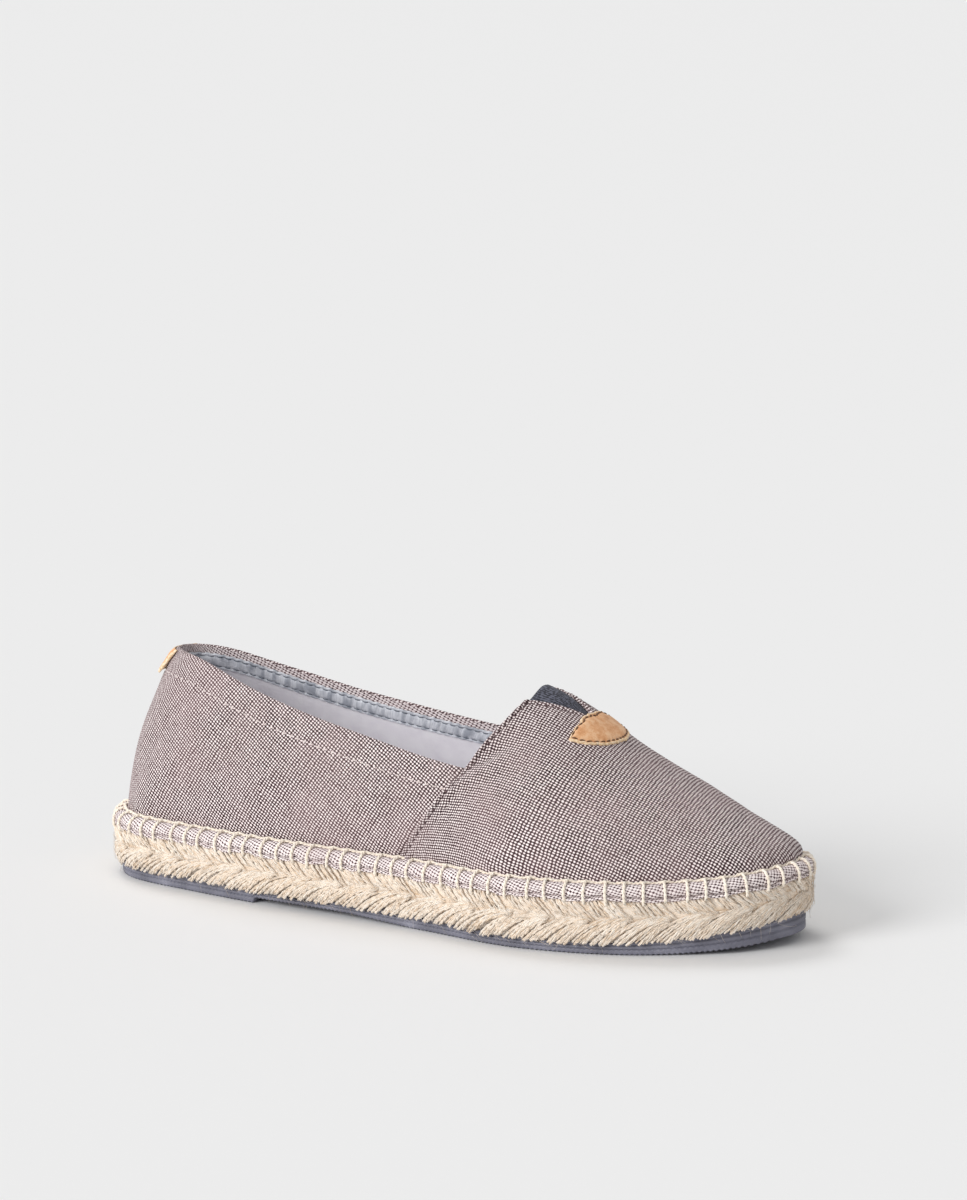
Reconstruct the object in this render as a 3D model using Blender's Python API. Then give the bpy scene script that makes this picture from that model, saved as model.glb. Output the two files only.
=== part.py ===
# Slip-on espadrille, right shoe: a canvas upper turned out and stitched over
# a braided jute sole, with a rubber outsole bonded under the braid.
# Metres. +X toe, +Y inner side of the foot, +Z up, floor at Z = 0.

import math

import bmesh
import bpy
import numpy as np

for old in list(bpy.data.objects):
    bpy.data.objects.remove(old)

# Sole, driving sizes
LENGTH = 0.280
BALL_WIDTH = 0.102
TOE_SPRING = 0.004
TOE_SPRING_SHARE = 0.82
RUBBER_RIM = 0.0033
TOE_BUMPER = 0.0037
TOE_BUMPER_SHARE = 0.70
RUBBER_INSET = 0.0020
RUBBER_LIP = 0.0022
RUBBER_FLOOR = 0.0023
RUBBER_GROOVE = 0.0004
RUBBER_EDGE = 0.0005
BLOCK_FACE = 0.0003
ARCH_BLEND_SHARE = 0.15
HEEL_BLOCK = 0.0013
HEEL_BLOCK_LENGTH = 0.0755
ARCH_RISE = 0.0007
FOREFOOT_SHARE = 0.54
JUTE_HEIGHT = 0.0235
JUTE_BULGE = 0.0008
BRAID_PITCH = 0.0149
BRAID_SLANT_RATIO = 0.95
BRAID_RELIEF = 0.0013
SHOULDER_SHARE = 0.55
CLEARANCE = 0.0003

# Upper, driving sizes; heights are above the crease where canvas meets hem
HEEL_HEIGHT = 0.0605
INSTEP_HEIGHT = 0.0570
SIDE_HEIGHT = 0.0336
WALL = 0.0016
VAMP_LAP = 0.0008
CREASE_INSET = 0.0040
CREASE_RISE = 0.0019
CREASE_TILT = 0.0020
HEM_DEPTH = 0.0040
HEM_WALL = 0.0013
HEM_SWELL = 0.0003
SEAM_SHARE = 0.487
THROAT_WIDTH = 0.0217
THROAT_LENGTH = 0.0209
THROAT_CURVE = 0.8

# Small pieces
INSOLE_THICKNESS = 0.0025
BINDING_WIDTH = 0.0068
BINDING_THICKNESS = 0.0008
BINDING_DROP = 0.0030
BINDING_SETBACK = 0.004
GORE_THICKNESS = 0.0010
GORE_MARGIN = 0.0030
TAB_WIDTH = 0.0350
TAB_OVERLAP = 0.0015
TAB_LENGTH = 0.0125
TAB_THICKNESS = 0.0013
TAB_ROUND = 0.62
TAB_RIM_SHARE = 0.55
TAB_CROWN_SHARE = 0.88
TAB_MIDDLE_SHARE = 0.4
HEEL_TAB_WIDTH = 0.0140
HEEL_TAB_HEIGHT = 0.0112
HEEL_TAB_DROP = 0.0006
HEEL_TAB_THICKNESS = 0.0016
HEEL_TAB_STAND = 0.0011
HEEL_TAB_FOOT_SHARE = 0.05

# Sole outline: share of LENGTH from the heel, share of BALL_WIDTH outwards
OUTER_SIDE = [
    (0.000, 0.000), (0.013, 0.150), (0.055, 0.262), (0.140, 0.322),
    (0.250, 0.372), (0.350, 0.400), (0.450, 0.420), (0.550, 0.448),
    (0.650, 0.495), (0.730, 0.484), (0.810, 0.430), (0.890, 0.325),
    (0.955, 0.200), (0.988, 0.070), (1.000, -0.050),
]
INNER_SIDE = [
    (0.988, 0.165), (0.945, 0.270), (0.880, 0.370), (0.800, 0.448),
    (0.720, 0.490), (0.640, 0.488), (0.550, 0.445), (0.450, 0.392),
    (0.350, 0.355), (0.250, 0.335), (0.140, 0.312), (0.055, 0.258),
    (0.013, 0.150),
]

# Ribs of the last, from heel (foot 0) to toe (foot 1) up either side.
# foot: share of the way round; top: share of LENGTH; heel, instep: shares of
# those heights that add up to the rib's top; lean, rake: outward and toeward,
# degrees; low, high: fullness at foot and top as shares of BALL_WIDTH; turn:
# degrees that the top swings from sideways, back at heel, forward at toe
RIBS = [
    # foot, top, heel, instep, lean, rake, low, high, turn
    (0.000, 0.136, 1.22, 0.00, -8, 0, 0.265, 0.160, -90),
    (0.100, 0.158, 1.22, 0.00, -5, 2, 0.265, 0.160, -62),
    (0.230, 0.268, 1.05, 0.14, 0, 10, 0.270, 0.170, -22),
    (0.370, 0.450, 0.60, 0.54, 2, 22, 0.240, 0.200, 0),
    (0.487, 0.629, 0.00, 1.02, 3, 32, 0.215, 0.270, 4),
    (0.620, 0.732, 0.00, 0.745, 6, 26, 0.160, 0.290, 8),
    (0.760, 0.812, 0.00, 0.535, 9, 14, 0.110, 0.245, 20),
    (0.890, 0.880, 0.00, 0.380, 11, 5, 0.070, 0.175, 48),
    (1.000, 0.914, 0.00, 0.310, 12, 0, 0.050, 0.130, 90),
]
RIDGE_SLOPE = -0.43
HEEL_SLOPE = 0.15

# Collar line: share of LENGTH, share of the drop from heel to side height
COLLAR = [
    (0.070, 0.00), (0.130, 0.05), (0.200, 0.24), (0.270, 0.43),
    (0.370, 0.65), (0.450, 0.80), (0.520, 0.93), (0.570, 1.00),
]

# Side of the rubber: share of the way up to the rim, 1 where grooved
RUBBER_SIDE = [
    (0.30, 0), (0.37, 1), (0.44, 0), (0.64, 0), (0.71, 1), (0.78, 0), (1.00, 0),
]

# Braid wall: half below or above the middle, share of the way out, relief
BRAID_ROWS = [
    (-1, 1.00, 0.5), (-1, 0.55, 1.0), (-1, 0.10, 0.8),
    (1, 0.12, 0.8), (1, 0.55, 1.0), (1, 1.00, 0.5),
]
STRAND = (-1.0, 0.35, 1.0, 0.35)

# Mesh counts, and powers that crowd columns at heel and toe
QUARTER_COLUMNS = 20
THROAT_COLUMNS = 4
VAMP_COLUMNS = 17
LOWER_ROWS = 6
UPPER_ROWS = 6
TOE_LEVEL_SHARE = 0.5
HEEL_CROWDING = 1.15
TOE_CROWDING = 1.25
SOLE_STATIONS = 40
INSOLE_COLUMNS = 30
BINDING_COLUMNS = 22
GORE_SHARES = 5
TAB_POINTS = 13
HEEL_TAB_COLUMNS = 5
HEEL_TAB_ROWS = 4
OUTLINE_SAMPLES = 4000
SEARCH_SAMPLES = 400
SEARCH_TURNS = 12
WELD = 0.00001
SHARP_ANGLE = 40


def spline(knots, values, closed=False):
    """Cubic curve through the values, natural or closed, as a function."""
    knots = np.asarray(knots, float)
    values = np.asarray(values, float).reshape(len(knots), -1)
    steps = np.diff(knots)
    slopes = np.diff(values, axis=0) / steps[:, None]
    count = len(knots)
    system = np.zeros((count, count))
    right = np.zeros(values.shape)
    for i in range(1, count - 1):
        system[i, i - 1:i + 2] = steps[i - 1], 2 * (steps[i - 1] + steps[i]), steps[i]
        right[i] = 6 * (slopes[i] - slopes[i - 1])
    if closed:
        system[0, [0, 1, -2]] = 2 * (steps[0] + steps[-1]), steps[0], steps[-1]
        system[-1, [0, -1]] = 1, -1
        right[0] = 6 * (slopes[0] - slopes[-1])
    else:
        system[0, 0] = system[-1, -1] = 1
    bend = np.linalg.solve(system, right)

    def at(x):
        x = np.asarray(x, float)
        i = np.clip(np.searchsorted(knots, x, side="right") - 1, 0, count - 2)
        step = steps[i][..., None]
        a = (x - knots[i])[..., None]
        b = (knots[i + 1] - x)[..., None]
        cubic = (bend[i] * b ** 3 + bend[i + 1] * a ** 3) / (6 * step)
        return (cubic + (values[i] / step - bend[i] * step / 6) * b
                + (values[i + 1] / step - bend[i + 1] * step / 6) * a)

    return at


def measured_outline():
    """Dense sole outline, centred on its own box, with its running length."""
    rows = [(x, -y) for x, y in OUTER_SIDE] + INNER_SIDE + [OUTER_SIDE[0]]
    points = np.array(rows) * (LENGTH, BALL_WIDTH)
    chords = np.linalg.norm(np.diff(points, axis=0), axis=1)
    knots = np.concatenate(([0], np.cumsum(np.sqrt(chords))))
    path = spline(knots, points, closed=True)(
        np.linspace(0, knots[-1], OUTLINE_SAMPLES + 1))
    path[:, 1] -= (path[:, 1].min() + path[:, 1].max()) / 2
    path[:, 0] = (path[:, 0] - path[:, 0].min()) * LENGTH / np.ptp(path[:, 0])
    lengths = np.linalg.norm(np.diff(path, axis=0), axis=1)
    return path, np.concatenate(([0], np.cumsum(lengths)))


OUTLINE, RUN = measured_outline()
PERIMETER = RUN[-1]
TOE_RUN = RUN[OUTLINE[:, 0].argmax()]
TANGENT_STEP = 0.0005


def outline_at(run):
    run = np.mod(run, PERIMETER)
    return np.stack([np.interp(run, RUN, OUTLINE[:, 0]),
                     np.interp(run, RUN, OUTLINE[:, 1])], -1)


def outward(run):
    """Unit vector square to the outline, pointing away from the foot."""
    ahead = outline_at(run + TANGENT_STEP) - outline_at(run - TANGENT_STEP)
    ahead /= np.linalg.norm(ahead, axis=-1, keepdims=True)
    return np.stack([ahead[..., 1], -ahead[..., 0]], -1)


def edge_point(run, inset, height):
    """Point at an inset from the outline, its height taken with the sole."""
    flat = outline_at(run) - outward(run) * np.asarray(inset)[..., None]
    return np.concatenate([flat, (height + toe_lift(flat[..., 0]))[..., None]], -1)


def run_of(foot, side):
    """Running length at a share of the way from heel to toe, on one side."""
    if side < 0:
        return foot * TOE_RUN
    return PERIMETER - foot * (PERIMETER - TOE_RUN)


def run_at_x(x, side):
    toe = OUTLINE[:, 0].argmax()
    if side < 0:
        return np.interp(x, OUTLINE[:toe + 1, 0], RUN[:toe + 1])
    return np.interp(x, OUTLINE[:toe - 1:-1, 0], RUN[:toe - 1:-1])


def toe_lift(x):
    share = np.clip((x / LENGTH - TOE_SPRING_SHARE) / (1 - TOE_SPRING_SHARE), 0, 1)
    return TOE_SPRING * share ** 2


def rim_height(x):
    """Top of the rubber rim above the lifted base, higher as a toe bumper."""
    share = np.clip((x / LENGTH - TOE_BUMPER_SHARE) / (1 - TOE_BUMPER_SHARE), 0, 1)
    return RUBBER_RIM + TOE_BUMPER * share ** 2


def tilt(run):
    """The sandwich grows a little thicker from heel to toe."""
    return CREASE_TILT * (outline_at(run)[..., 0] / LENGTH - 0.5)


def smooth(share):
    share = np.clip(share, 0, 1)
    return share * share * (3 - 2 * share)


RIB_AT = spline([row[0] for row in RIBS], [row[1:] for row in RIBS])
COLLAR_AT = spline([row[0] for row in COLLAR], [row[1] for row in COLLAR])
CREASE_MIDDLE = JUTE_HEIGHT + CREASE_RISE
THROAT_END = float(RIB_AT(SEAM_SHARE)[0]) * LENGTH + THROAT_LENGTH


def ridge_y(x):
    """The vamp's ridge bends to the inner side towards the toe."""
    middle = outline_at(TOE_RUN)[1]
    return middle * np.clip((x / LENGTH - SEAM_SHARE) / (1 - SEAM_SHARE), 0, 1)


def last_point(foot, side, rise):
    """Point on the last: foot 0 heel to 1 toe, rise 0 crease to 1 ridge."""
    foot, side, rise = np.broadcast_arrays(foot, side, rise)
    columns = RIB_AT(foot)
    top, heel, instep, lean, rake, low, high, turn = np.moveaxis(columns, -1, 0)
    run = np.where(side < 0, run_of(foot, -1), run_of(foot, 1))
    start = edge_point(run, np.full(run.shape, CREASE_INSET), 0.0)
    start[..., 2] += CREASE_MIDDLE + tilt(run)
    top_x = top * LENGTH
    top_z = CREASE_MIDDLE + heel * HEEL_HEIGHT + instep * INSTEP_HEIGHT
    end = np.stack([top_x, ridge_y(top_x), top_z], -1)
    lean, rake, turn = np.radians(lean), np.radians(rake), np.radians(turn)
    swing = np.sin(turn)
    out = outward(run)
    toeward = np.stack([-out[..., 1], out[..., 0]], -1) * -side[..., None]
    flat = out * np.sin(lean)[..., None] + toeward * np.sin(rake)[..., None]
    up = np.concatenate([flat, (np.cos(lean) * np.cos(rake))[..., None]], -1)
    across = np.stack([swing, side * np.cos(turn),
                       swing * np.where(swing > 0, RIDGE_SLOPE, HEEL_SLOPE)], -1)
    near_start = start + up * (low * BALL_WIDTH)[..., None]
    near_end = end + across * (high * BALL_WIDTH)[..., None]
    t = rise[..., None]
    return (start * (1 - t) ** 3 + 3 * near_start * t * (1 - t) ** 2
            + 3 * near_end * t * t * (1 - t) + end * t ** 3)


def folded_point(foot, side, rise):
    """Point on the last that carries on past heel, toe or ridge."""
    flips = (foot < 0).astype(int) + (foot > 1) + (rise > 1)
    foot = np.abs(foot)
    foot = np.where(foot > 1, 2 - foot, foot)
    rise = np.where(rise > 1, 2 - rise, np.maximum(rise, 0))
    return last_point(foot, np.where(flips % 2, -side, side), rise)


def last_normal(foot, side, rise):
    """Unit normal of the last, pointing out of the shoe."""
    step = 0.002
    foot, side, rise = np.broadcast_arrays(foot, side, rise)
    tip = (foot < step) | (foot > 1 - step)
    rise = np.where(tip, np.minimum(rise, 1 - 2 * step), rise)
    along = folded_point(foot + step, side, rise) - folded_point(foot - step, side, rise)
    upward = folded_point(foot, side, rise + step) - folded_point(foot, side, rise - step)
    normal = np.cross(along, upward) * -side[..., None]
    return normal / np.linalg.norm(normal, axis=-1, keepdims=True)


def on_last(foot, side, rise, out=0.0):
    """Point at a distance outside the last's surface, negative for inside."""
    out = np.asarray(out)[..., None]
    return last_point(foot, side, rise) + last_normal(foot, side, rise) * out


def first_rise(foot, side, past):
    """Least rise on a rib where the test past(points) turns positive."""
    rises = np.linspace(0.05, 1.0, SEARCH_SAMPLES)
    value = past(last_point(np.full(rises.shape, foot), side, rises))
    hit = int(np.argmax(value > 0))
    if hit == 0:
        return 1.0
    share = value[hit - 1] / (value[hit - 1] - value[hit])
    return rises[hit - 1] + share * (rises[hit] - rises[hit - 1])


def collar_rise(foot, side):
    def past(points):
        share = np.clip(points[:, 0] / LENGTH, COLLAR[0][0], COLLAR[-1][0])
        drop = COLLAR_AT(share)[:, 0] * (HEEL_HEIGHT - SIDE_HEIGHT)
        return points[:, 2] - (CREASE_MIDDLE + HEEL_HEIGHT - drop)
    return first_rise(foot, side, past)


def throat_rise(foot, side):
    def past(points):
        left = (THROAT_END - points[:, 0]) / THROAT_LENGTH
        half = THROAT_WIDTH / 2 * np.maximum(left, 0) ** THROAT_CURVE
        return half - np.abs(points[:, 1] - ridge_y(points[:, 0])) - 1e-7
    return first_rise(foot, side, past)


def foot_of_top(x):
    """Rib whose top lies at x on the ridge."""
    feet = np.linspace(0, 1, SEARCH_SAMPLES)
    return float(np.interp(x / LENGTH, RIB_AT(feet)[:, 0], feet))


APEX_FOOT = foot_of_top(THROAT_END)


def add_grid(bm, points, closed=False):
    """Faces over a grid of points, rows by columns."""
    verts = [[bm.verts.new(p) for p in row] for row in points]
    columns = len(verts[0])
    for low, high in zip(verts, verts[1:]):
        for j in range(columns if closed else columns - 1):
            k = (j + 1) % columns
            bm.faces.new((low[j], low[k], high[k], high[j]))


def ladder(bm, ring):
    """Cap across a ring of points whose first is the heel."""
    count = len(ring)
    verts = [bm.verts.new(p) for p in ring]
    for j in range(1, count // 2):
        low, high = (j, count - j), (j + 1, count - j - 1)
        if j == 1:
            bm.faces.new((verts[0], verts[low[0]], verts[low[1]]))
        if high[0] == high[1]:
            bm.faces.new((verts[low[0]], verts[high[0]], verts[low[1]]))
        else:
            bm.faces.new((verts[low[0]], verts[high[0]], verts[high[1]], verts[low[1]]))


def finish(bm, name, colour, roughness):
    """Weld the patches into one closed body with its own material."""
    bmesh.ops.remove_doubles(bm, verts=bm.verts, dist=WELD)
    bmesh.ops.holes_fill(bm, edges=[e for e in bm.edges if e.is_boundary], sides=4)
    bmesh.ops.recalc_face_normals(bm, faces=bm.faces)
    mesh = bpy.data.meshes.new(name)
    bm.to_mesh(mesh)
    bm.free()
    mesh.shade_smooth()
    mesh.set_sharp_from_angle(angle=math.radians(SHARP_ANGLE))
    material = bpy.data.materials.new(name)
    material.use_nodes = True
    shader = material.node_tree.nodes["Principled BSDF"]
    shader.inputs["Base Color"].default_value = (*colour, 1)
    shader.inputs["Roughness"].default_value = roughness
    mesh.materials.append(material)
    piece = bpy.data.objects.new(name, mesh)
    piece.location.x = -LENGTH / 2
    PARTS.objects.link(piece)
    return piece


def ring_from(runs, insets_and_heights):
    """Rows of a wall round the sole, one (inset, height) pair to a row."""
    return [edge_point(runs, inset + np.zeros(runs.shape), height)
            for inset, height in insets_and_heights]


def make_outsole():
    """Rubber tray: flat tread, heel block, grooved side and a lip."""
    edge = RUBBER_INSET
    block = HEEL_BLOCK_LENGTH
    turns = np.linspace(0, math.pi, SOLE_STATIONS + 1)
    stations = (1 - np.cos(turns)) / 2 * LENGTH
    stations = stations[np.abs(stations - block) > 2 * BLOCK_FACE]
    stations = np.sort(np.append(stations, (block, block + BLOCK_FACE)))
    runs = np.concatenate([run_at_x(stations, -1), run_at_x(stations[-2:0:-1], 1)])
    along = np.concatenate([stations, stations[-2:0:-1]])
    arch = smooth((FOREFOOT_SHARE - along / LENGTH) / ARCH_BLEND_SHARE)
    tread = np.where(along > block, arch * (HEEL_BLOCK + ARCH_RISE), 0.0)
    rim = rim_height(along)
    low = tread + RUBBER_EDGE
    side = [(edge + RUBBER_EDGE, tread), (edge, low)]
    side += [(edge + groove * RUBBER_GROOVE, low + share * (rim - low))
             for share, groove in RUBBER_SIDE]
    side += [(edge + RUBBER_LIP, rim), (edge + RUBBER_LIP, RUBBER_FLOOR + 0 * rim)]
    rows = ring_from(runs, side)
    bm = bmesh.new()
    add_grid(bm, rows, closed=True)
    ladder(bm, rows[0])
    ladder(bm, rows[-1])
    return finish(bm, "outsole", (0.19, 0.19, 0.24), 0.6)


def make_midsole():
    """Jute braid sewn in a coil: one wall with its strands raised."""
    count = round(PERIMETER / BRAID_PITCH) * len(STRAND)
    index = np.arange(count)
    runs = index * PERIMETER / count
    top = JUTE_HEIGHT - HEM_DEPTH - CLEARANCE
    nest = RUBBER_INSET + RUBBER_LIP + CLEARANCE
    floor = RUBBER_FLOOR + CLEARANCE
    half_height = (top - RUBBER_RIM) / 2
    lobe = np.array(STRAND)[index % len(STRAND)]
    other = np.roll(lobe, len(STRAND) // 2)

    def wall_limits(spots):
        rim = rim_height(outline_at(spots)[:, 0])
        return rim + CLEARANCE, top + tilt(spots)

    low = wall_limits(runs)[0]
    rows = ring_from(runs, [(nest, floor + 0 * low), (nest, low)])
    for half, reach, relief in BRAID_ROWS:
        spots = runs - BRAID_SLANT_RATIO * reach * half_height
        low, high = wall_limits(spots)
        height = (low + high) / 2 + half * reach * (high - low) / 2
        strand = BRAID_RELIEF / 2 * (relief * (lobe if half < 0 else other) - 1)
        rows.append(edge_point(spots, JUTE_BULGE * reach ** 2 - strand, height))
    inset = HEM_WALL + 2 * CLEARANCE
    peak = JUTE_HEIGHT - CLEARANCE + tilt(runs)
    turn = SHOULDER_SHARE * HEM_DEPTH
    rows += ring_from(runs, [
        (inset, top + tilt(runs)), (inset, peak - turn),
        (inset + 0.5 * turn, peak - 0.3 * turn), (inset + 1.4 * turn, peak)])
    bm = bmesh.new()
    add_grid(bm, rows, closed=True)
    ladder(bm, rows[0])
    ladder(bm, rows[-1])
    return finish(bm, "midsole", (0.72, 0.60, 0.44), 0.9)


def make_insole():
    """Thin footbed lying on the jute inside the upper."""
    inset = CREASE_INSET + WALL + 2 * CLEARANCE
    thick = INSOLE_THICKNESS
    feet = np.linspace(0, 1, INSOLE_COLUMNS + 1)
    runs = np.concatenate([run_of(feet, -1), run_of(feet[-2:0:-1], 1)])
    low = JUTE_HEIGHT + tilt(runs)
    rows = ring_from(runs, [
        (inset + 0.2 * thick, low), (inset, low + 0.2 * thick),
        (inset + 0.1 * thick, low + 0.75 * thick), (inset + 0.5 * thick, low + thick)])
    bm = bmesh.new()
    add_grid(bm, rows, closed=True)
    ladder(bm, rows[0])
    ladder(bm, rows[-1])
    return finish(bm, "insole", (0.48, 0.45, 0.48), 0.9)


def hem_rows(feet, side):
    """Turned hem outside the crease, from its free edge up to the crease."""
    runs = run_of(feet, side)
    edge = JUTE_HEIGHT - HEM_DEPTH + tilt(runs)
    top = JUTE_HEIGHT + HEM_WALL + tilt(runs)
    return ring_from(runs, [
        (0.0, edge), (-HEM_SWELL, edge + 0.5 * HEM_DEPTH),
        (0.18 * CREASE_INSET, top - 0.4 * HEM_WALL),
        (0.6 * CREASE_INSET, top + 0.15 * HEM_WALL)])


def under_hem_rows(feet, side):
    """Underside of the hem, from its free edge in to the foot of the wall."""
    runs = run_of(feet, side)
    edge = JUTE_HEIGHT - HEM_DEPTH + tilt(runs)
    top = JUTE_HEIGHT + tilt(runs)
    turn = SHOULDER_SHARE * HEM_DEPTH
    return ring_from(runs, [
        (HEM_WALL, edge), (HEM_WALL, top - 0.95 * turn),
        (HEM_WALL + 0.45 * turn, top - 0.2 * turn), (CREASE_INSET + WALL, top)])


def upper_side(bm, side):
    """One side of the upper: quarter, vamp, their edges and the lap step."""
    lap = np.zeros(LOWER_ROWS + 1)
    lap[1:] = VAMP_LAP
    quarter = SEAM_SHARE * (np.linspace(0, 1, QUARTER_COLUMNS + 1) ** HEEL_CROWDING)
    collar = np.array([collar_rise(f, side) for f in quarter])
    throat_feet = np.linspace(SEAM_SHARE, APEX_FOOT, THROAT_COLUMNS + 1)
    toe_feet = 1 - (1 - APEX_FOOT) * np.linspace(1, 0, VAMP_COLUMNS + 1) ** TOE_CROWDING
    vamp = np.concatenate([throat_feet, toe_feet[1:]])
    edge = np.array([throat_rise(f, side) for f in throat_feet[:-1]]
                    + [1.0] * (VAMP_COLUMNS + 1))

    def skin(feet, rises, out):
        return np.array([on_last(feet, side, row + 0 * feet, out_row + 0 * feet)
                         for row, out_row in zip(rises, out)])

    quarter_rises = np.linspace(0, 1, LOWER_ROWS + 1)[:, None] * collar
    junction = collar[-1]
    level = junction + (TOE_LEVEL_SHARE - junction) * (vamp - SEAM_SHARE) / (1 - SEAM_SHARE)
    low = np.linspace(0, 1, LOWER_ROWS + 1)[:, None] * level
    high = level + np.linspace(0, 1, UPPER_ROWS + 1)[1:, None] * (edge - level)
    vamp_rises = np.concatenate([low, high])
    vamp_lap = np.concatenate([lap, np.full(UPPER_ROWS, VAMP_LAP)])

    outer_quarter = skin(quarter, quarter_rises, 0 * lap)
    inner_quarter = skin(quarter, quarter_rises[1:], np.full(LOWER_ROWS, -WALL))
    outer_vamp = skin(vamp, vamp_rises, vamp_lap)
    inner_vamp = skin(vamp, vamp_rises[1:], np.full(len(vamp_rises) - 1, -WALL))

    for feet, outer, inner in ((quarter, outer_quarter, inner_quarter),
                               (vamp, outer_vamp, inner_vamp)):
        hem, under = hem_rows(feet, side), under_hem_rows(feet, side)
        add_grid(bm, np.concatenate([hem, outer]))
        add_grid(bm, np.concatenate([[hem[0]], under, inner]))
    # collar edge, free edge of the vamp, throat edge and the step of the lap
    add_grid(bm, [outer_quarter[-1], inner_quarter[-1]])
    ear = slice(LOWER_ROWS, None)
    add_grid(bm, [outer_vamp[ear, 0], inner_vamp[LOWER_ROWS - 1:, 0]])
    throat = slice(0, THROAT_COLUMNS + 1)
    add_grid(bm, [outer_vamp[-1, throat], inner_vamp[-1, throat]])
    add_grid(bm, [outer_quarter[:, -1], outer_vamp[:LOWER_ROWS + 1, 0]])


def make_upper():
    """Canvas quarters and vamp as one hollow wall with a turned hem."""
    bm = bmesh.new()
    for side in (-1, 1):
        upper_side(bm, side)
    return finish(bm, "upper", (0.36, 0.29, 0.31), 0.95)


def make_strip(name, middle, reach, outs, colour, roughness):
    """Closed strip: middle and reach give (foot, side, rise) per column."""
    rows = [on_last(*middle, outs[0]), on_last(*reach, outs[0]),
            on_last(*reach, outs[1]), on_last(*middle, outs[1])]
    bm = bmesh.new()
    add_grid(bm, rows + [rows[0]])
    for end in (0, -1):
        bm.faces.new([bm.verts.new(row[end]) for row in rows])
    return finish(bm, name, colour, roughness)


def rise_below(foot, side, rise, distance):
    """Rise a given distance down the rib from another rise."""
    rises = np.linspace(0, rise, SEARCH_SAMPLES)
    points = last_point(np.full(rises.shape, foot), side, rises)
    lengths = np.linalg.norm(np.diff(points, axis=0), axis=1)
    down = np.concatenate((np.cumsum(lengths[::-1])[::-1], [0]))
    return float(np.interp(distance, down[::-1], rises[::-1]))


def make_collar_binding():
    """Bias strip sewn round the inside of the collar, ear to ear."""
    feet = np.linspace(SEAM_SHARE - BINDING_SETBACK, 0, BINDING_COLUMNS + 1)
    columns = [(f, -1) for f in feet] + [(f, 1) for f in feet[-2::-1]]
    tops, bottoms = [], []
    for foot, side in columns:
        edge = collar_rise(foot, side)
        tops.append((foot, side, rise_below(foot, side, edge, BINDING_DROP)))
        bottoms.append((foot, side, rise_below(foot, side, edge,
                                               BINDING_DROP + BINDING_WIDTH)))
    outs = (-(WALL + CLEARANCE), -(WALL + CLEARANCE + BINDING_THICKNESS))
    return make_strip("collar_binding", np.array(tops).T, np.array(bottoms).T, outs,
                      (0.48, 0.51, 0.56), 0.55)


def make_gore():
    """Elastic panel under the throat, its edges tucked below the vamp."""
    feet = np.linspace(SEAM_SHARE, APEX_FOOT, THROAT_COLUMNS + 1)
    under = WALL + 2 * CLEARANCE
    outs = (-under, -(under + GORE_THICKNESS))
    shares = np.linspace(0, 1, GORE_SHARES)
    skins = []
    for out in outs:
        rows = []
        for foot in feet:
            low = [rise_below(foot, s, throat_rise(foot, s), GORE_MARGIN) for s in (-1, 1)]
            rises = [low[0] + t * (1 - low[0]) for t in shares]
            rises += [low[1] + t * (1 - low[1]) for t in shares[-2::-1]]
            sides = [-1] * len(shares) + [1] * (len(shares) - 1)
            rows.append([on_last(foot, s, r, out) for s, r in zip(sides, rises)])
        skins.append(np.array(rows))
    outer, inner = skins
    bm = bmesh.new()
    add_grid(bm, outer)
    add_grid(bm, inner)
    for side in (slice(0, 1), slice(-1, None)):
        add_grid(bm, [outer[side][0], inner[side][0]])
        add_grid(bm, [outer[:, side][:, 0], inner[:, side][:, 0]])
    return finish(bm, "gore", (0.07, 0.075, 0.10), 0.85)


def foot_and_rise(x, across):
    """The rib and rise whose point lies at x and so far from the ridge."""
    side = -1 if across < 0 else 1
    foot, rise = foot_of_top(x), 1.0
    for _ in range(SEARCH_TURNS):
        here = last_point(foot, side, rise)
        miss = np.array([x - here[0], across - (here[1] - ridge_y(here[0]))])
        step = 1e-4
        by_foot = (last_point(foot + step, side, rise) - here) / step
        by_rise = (here - last_point(foot, side, rise - step)) / step
        slope = np.array([[by_foot[0], by_rise[0]], [by_foot[1], by_rise[1]]])
        change = np.linalg.solve(slope, miss)
        foot = float(np.clip(foot + change[0], SEAM_SHARE, 1 - 2 * step))
        rise = float(np.clip(rise + change[1], 0.2, 1.0))
    return foot, side, rise


def make_throat_tab():
    """Half-moon leather patch over the foot of the throat."""
    start = THROAT_END - TAB_OVERLAP
    base = VAMP_LAP + CLEARANCE
    crown = base + TAB_THICKNESS
    rim = TAB_RIM_SHARE * TAB_THICKNESS
    middle = TAB_LENGTH * TAB_MIDDLE_SHARE
    across = np.linspace(-1, 1, TAB_POINTS)
    rings = []
    for share, out in ((1.0, base), (1.0, base + rim), (TAB_CROWN_SHARE, crown)):
        row = []
        for edge in ("front", "back"):
            for a in (across if edge == "front" else across[-2:0:-1]):
                bow = TAB_LENGTH * (1 - a * a) ** TAB_ROUND if edge == "front" else 0.0
                x = start + middle + (bow - middle) * share
                foot, side, rise = foot_and_rise(x, a * share * TAB_WIDTH / 2)
                row.append(on_last(foot, side, rise, out))
        rings.append(row)
    bm = bmesh.new()
    add_grid(bm, rings, closed=True)
    ladder(bm, rings[0])
    ladder(bm, rings[-1])
    return finish(bm, "throat_tab", (0.55, 0.30, 0.12), 0.6)


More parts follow.
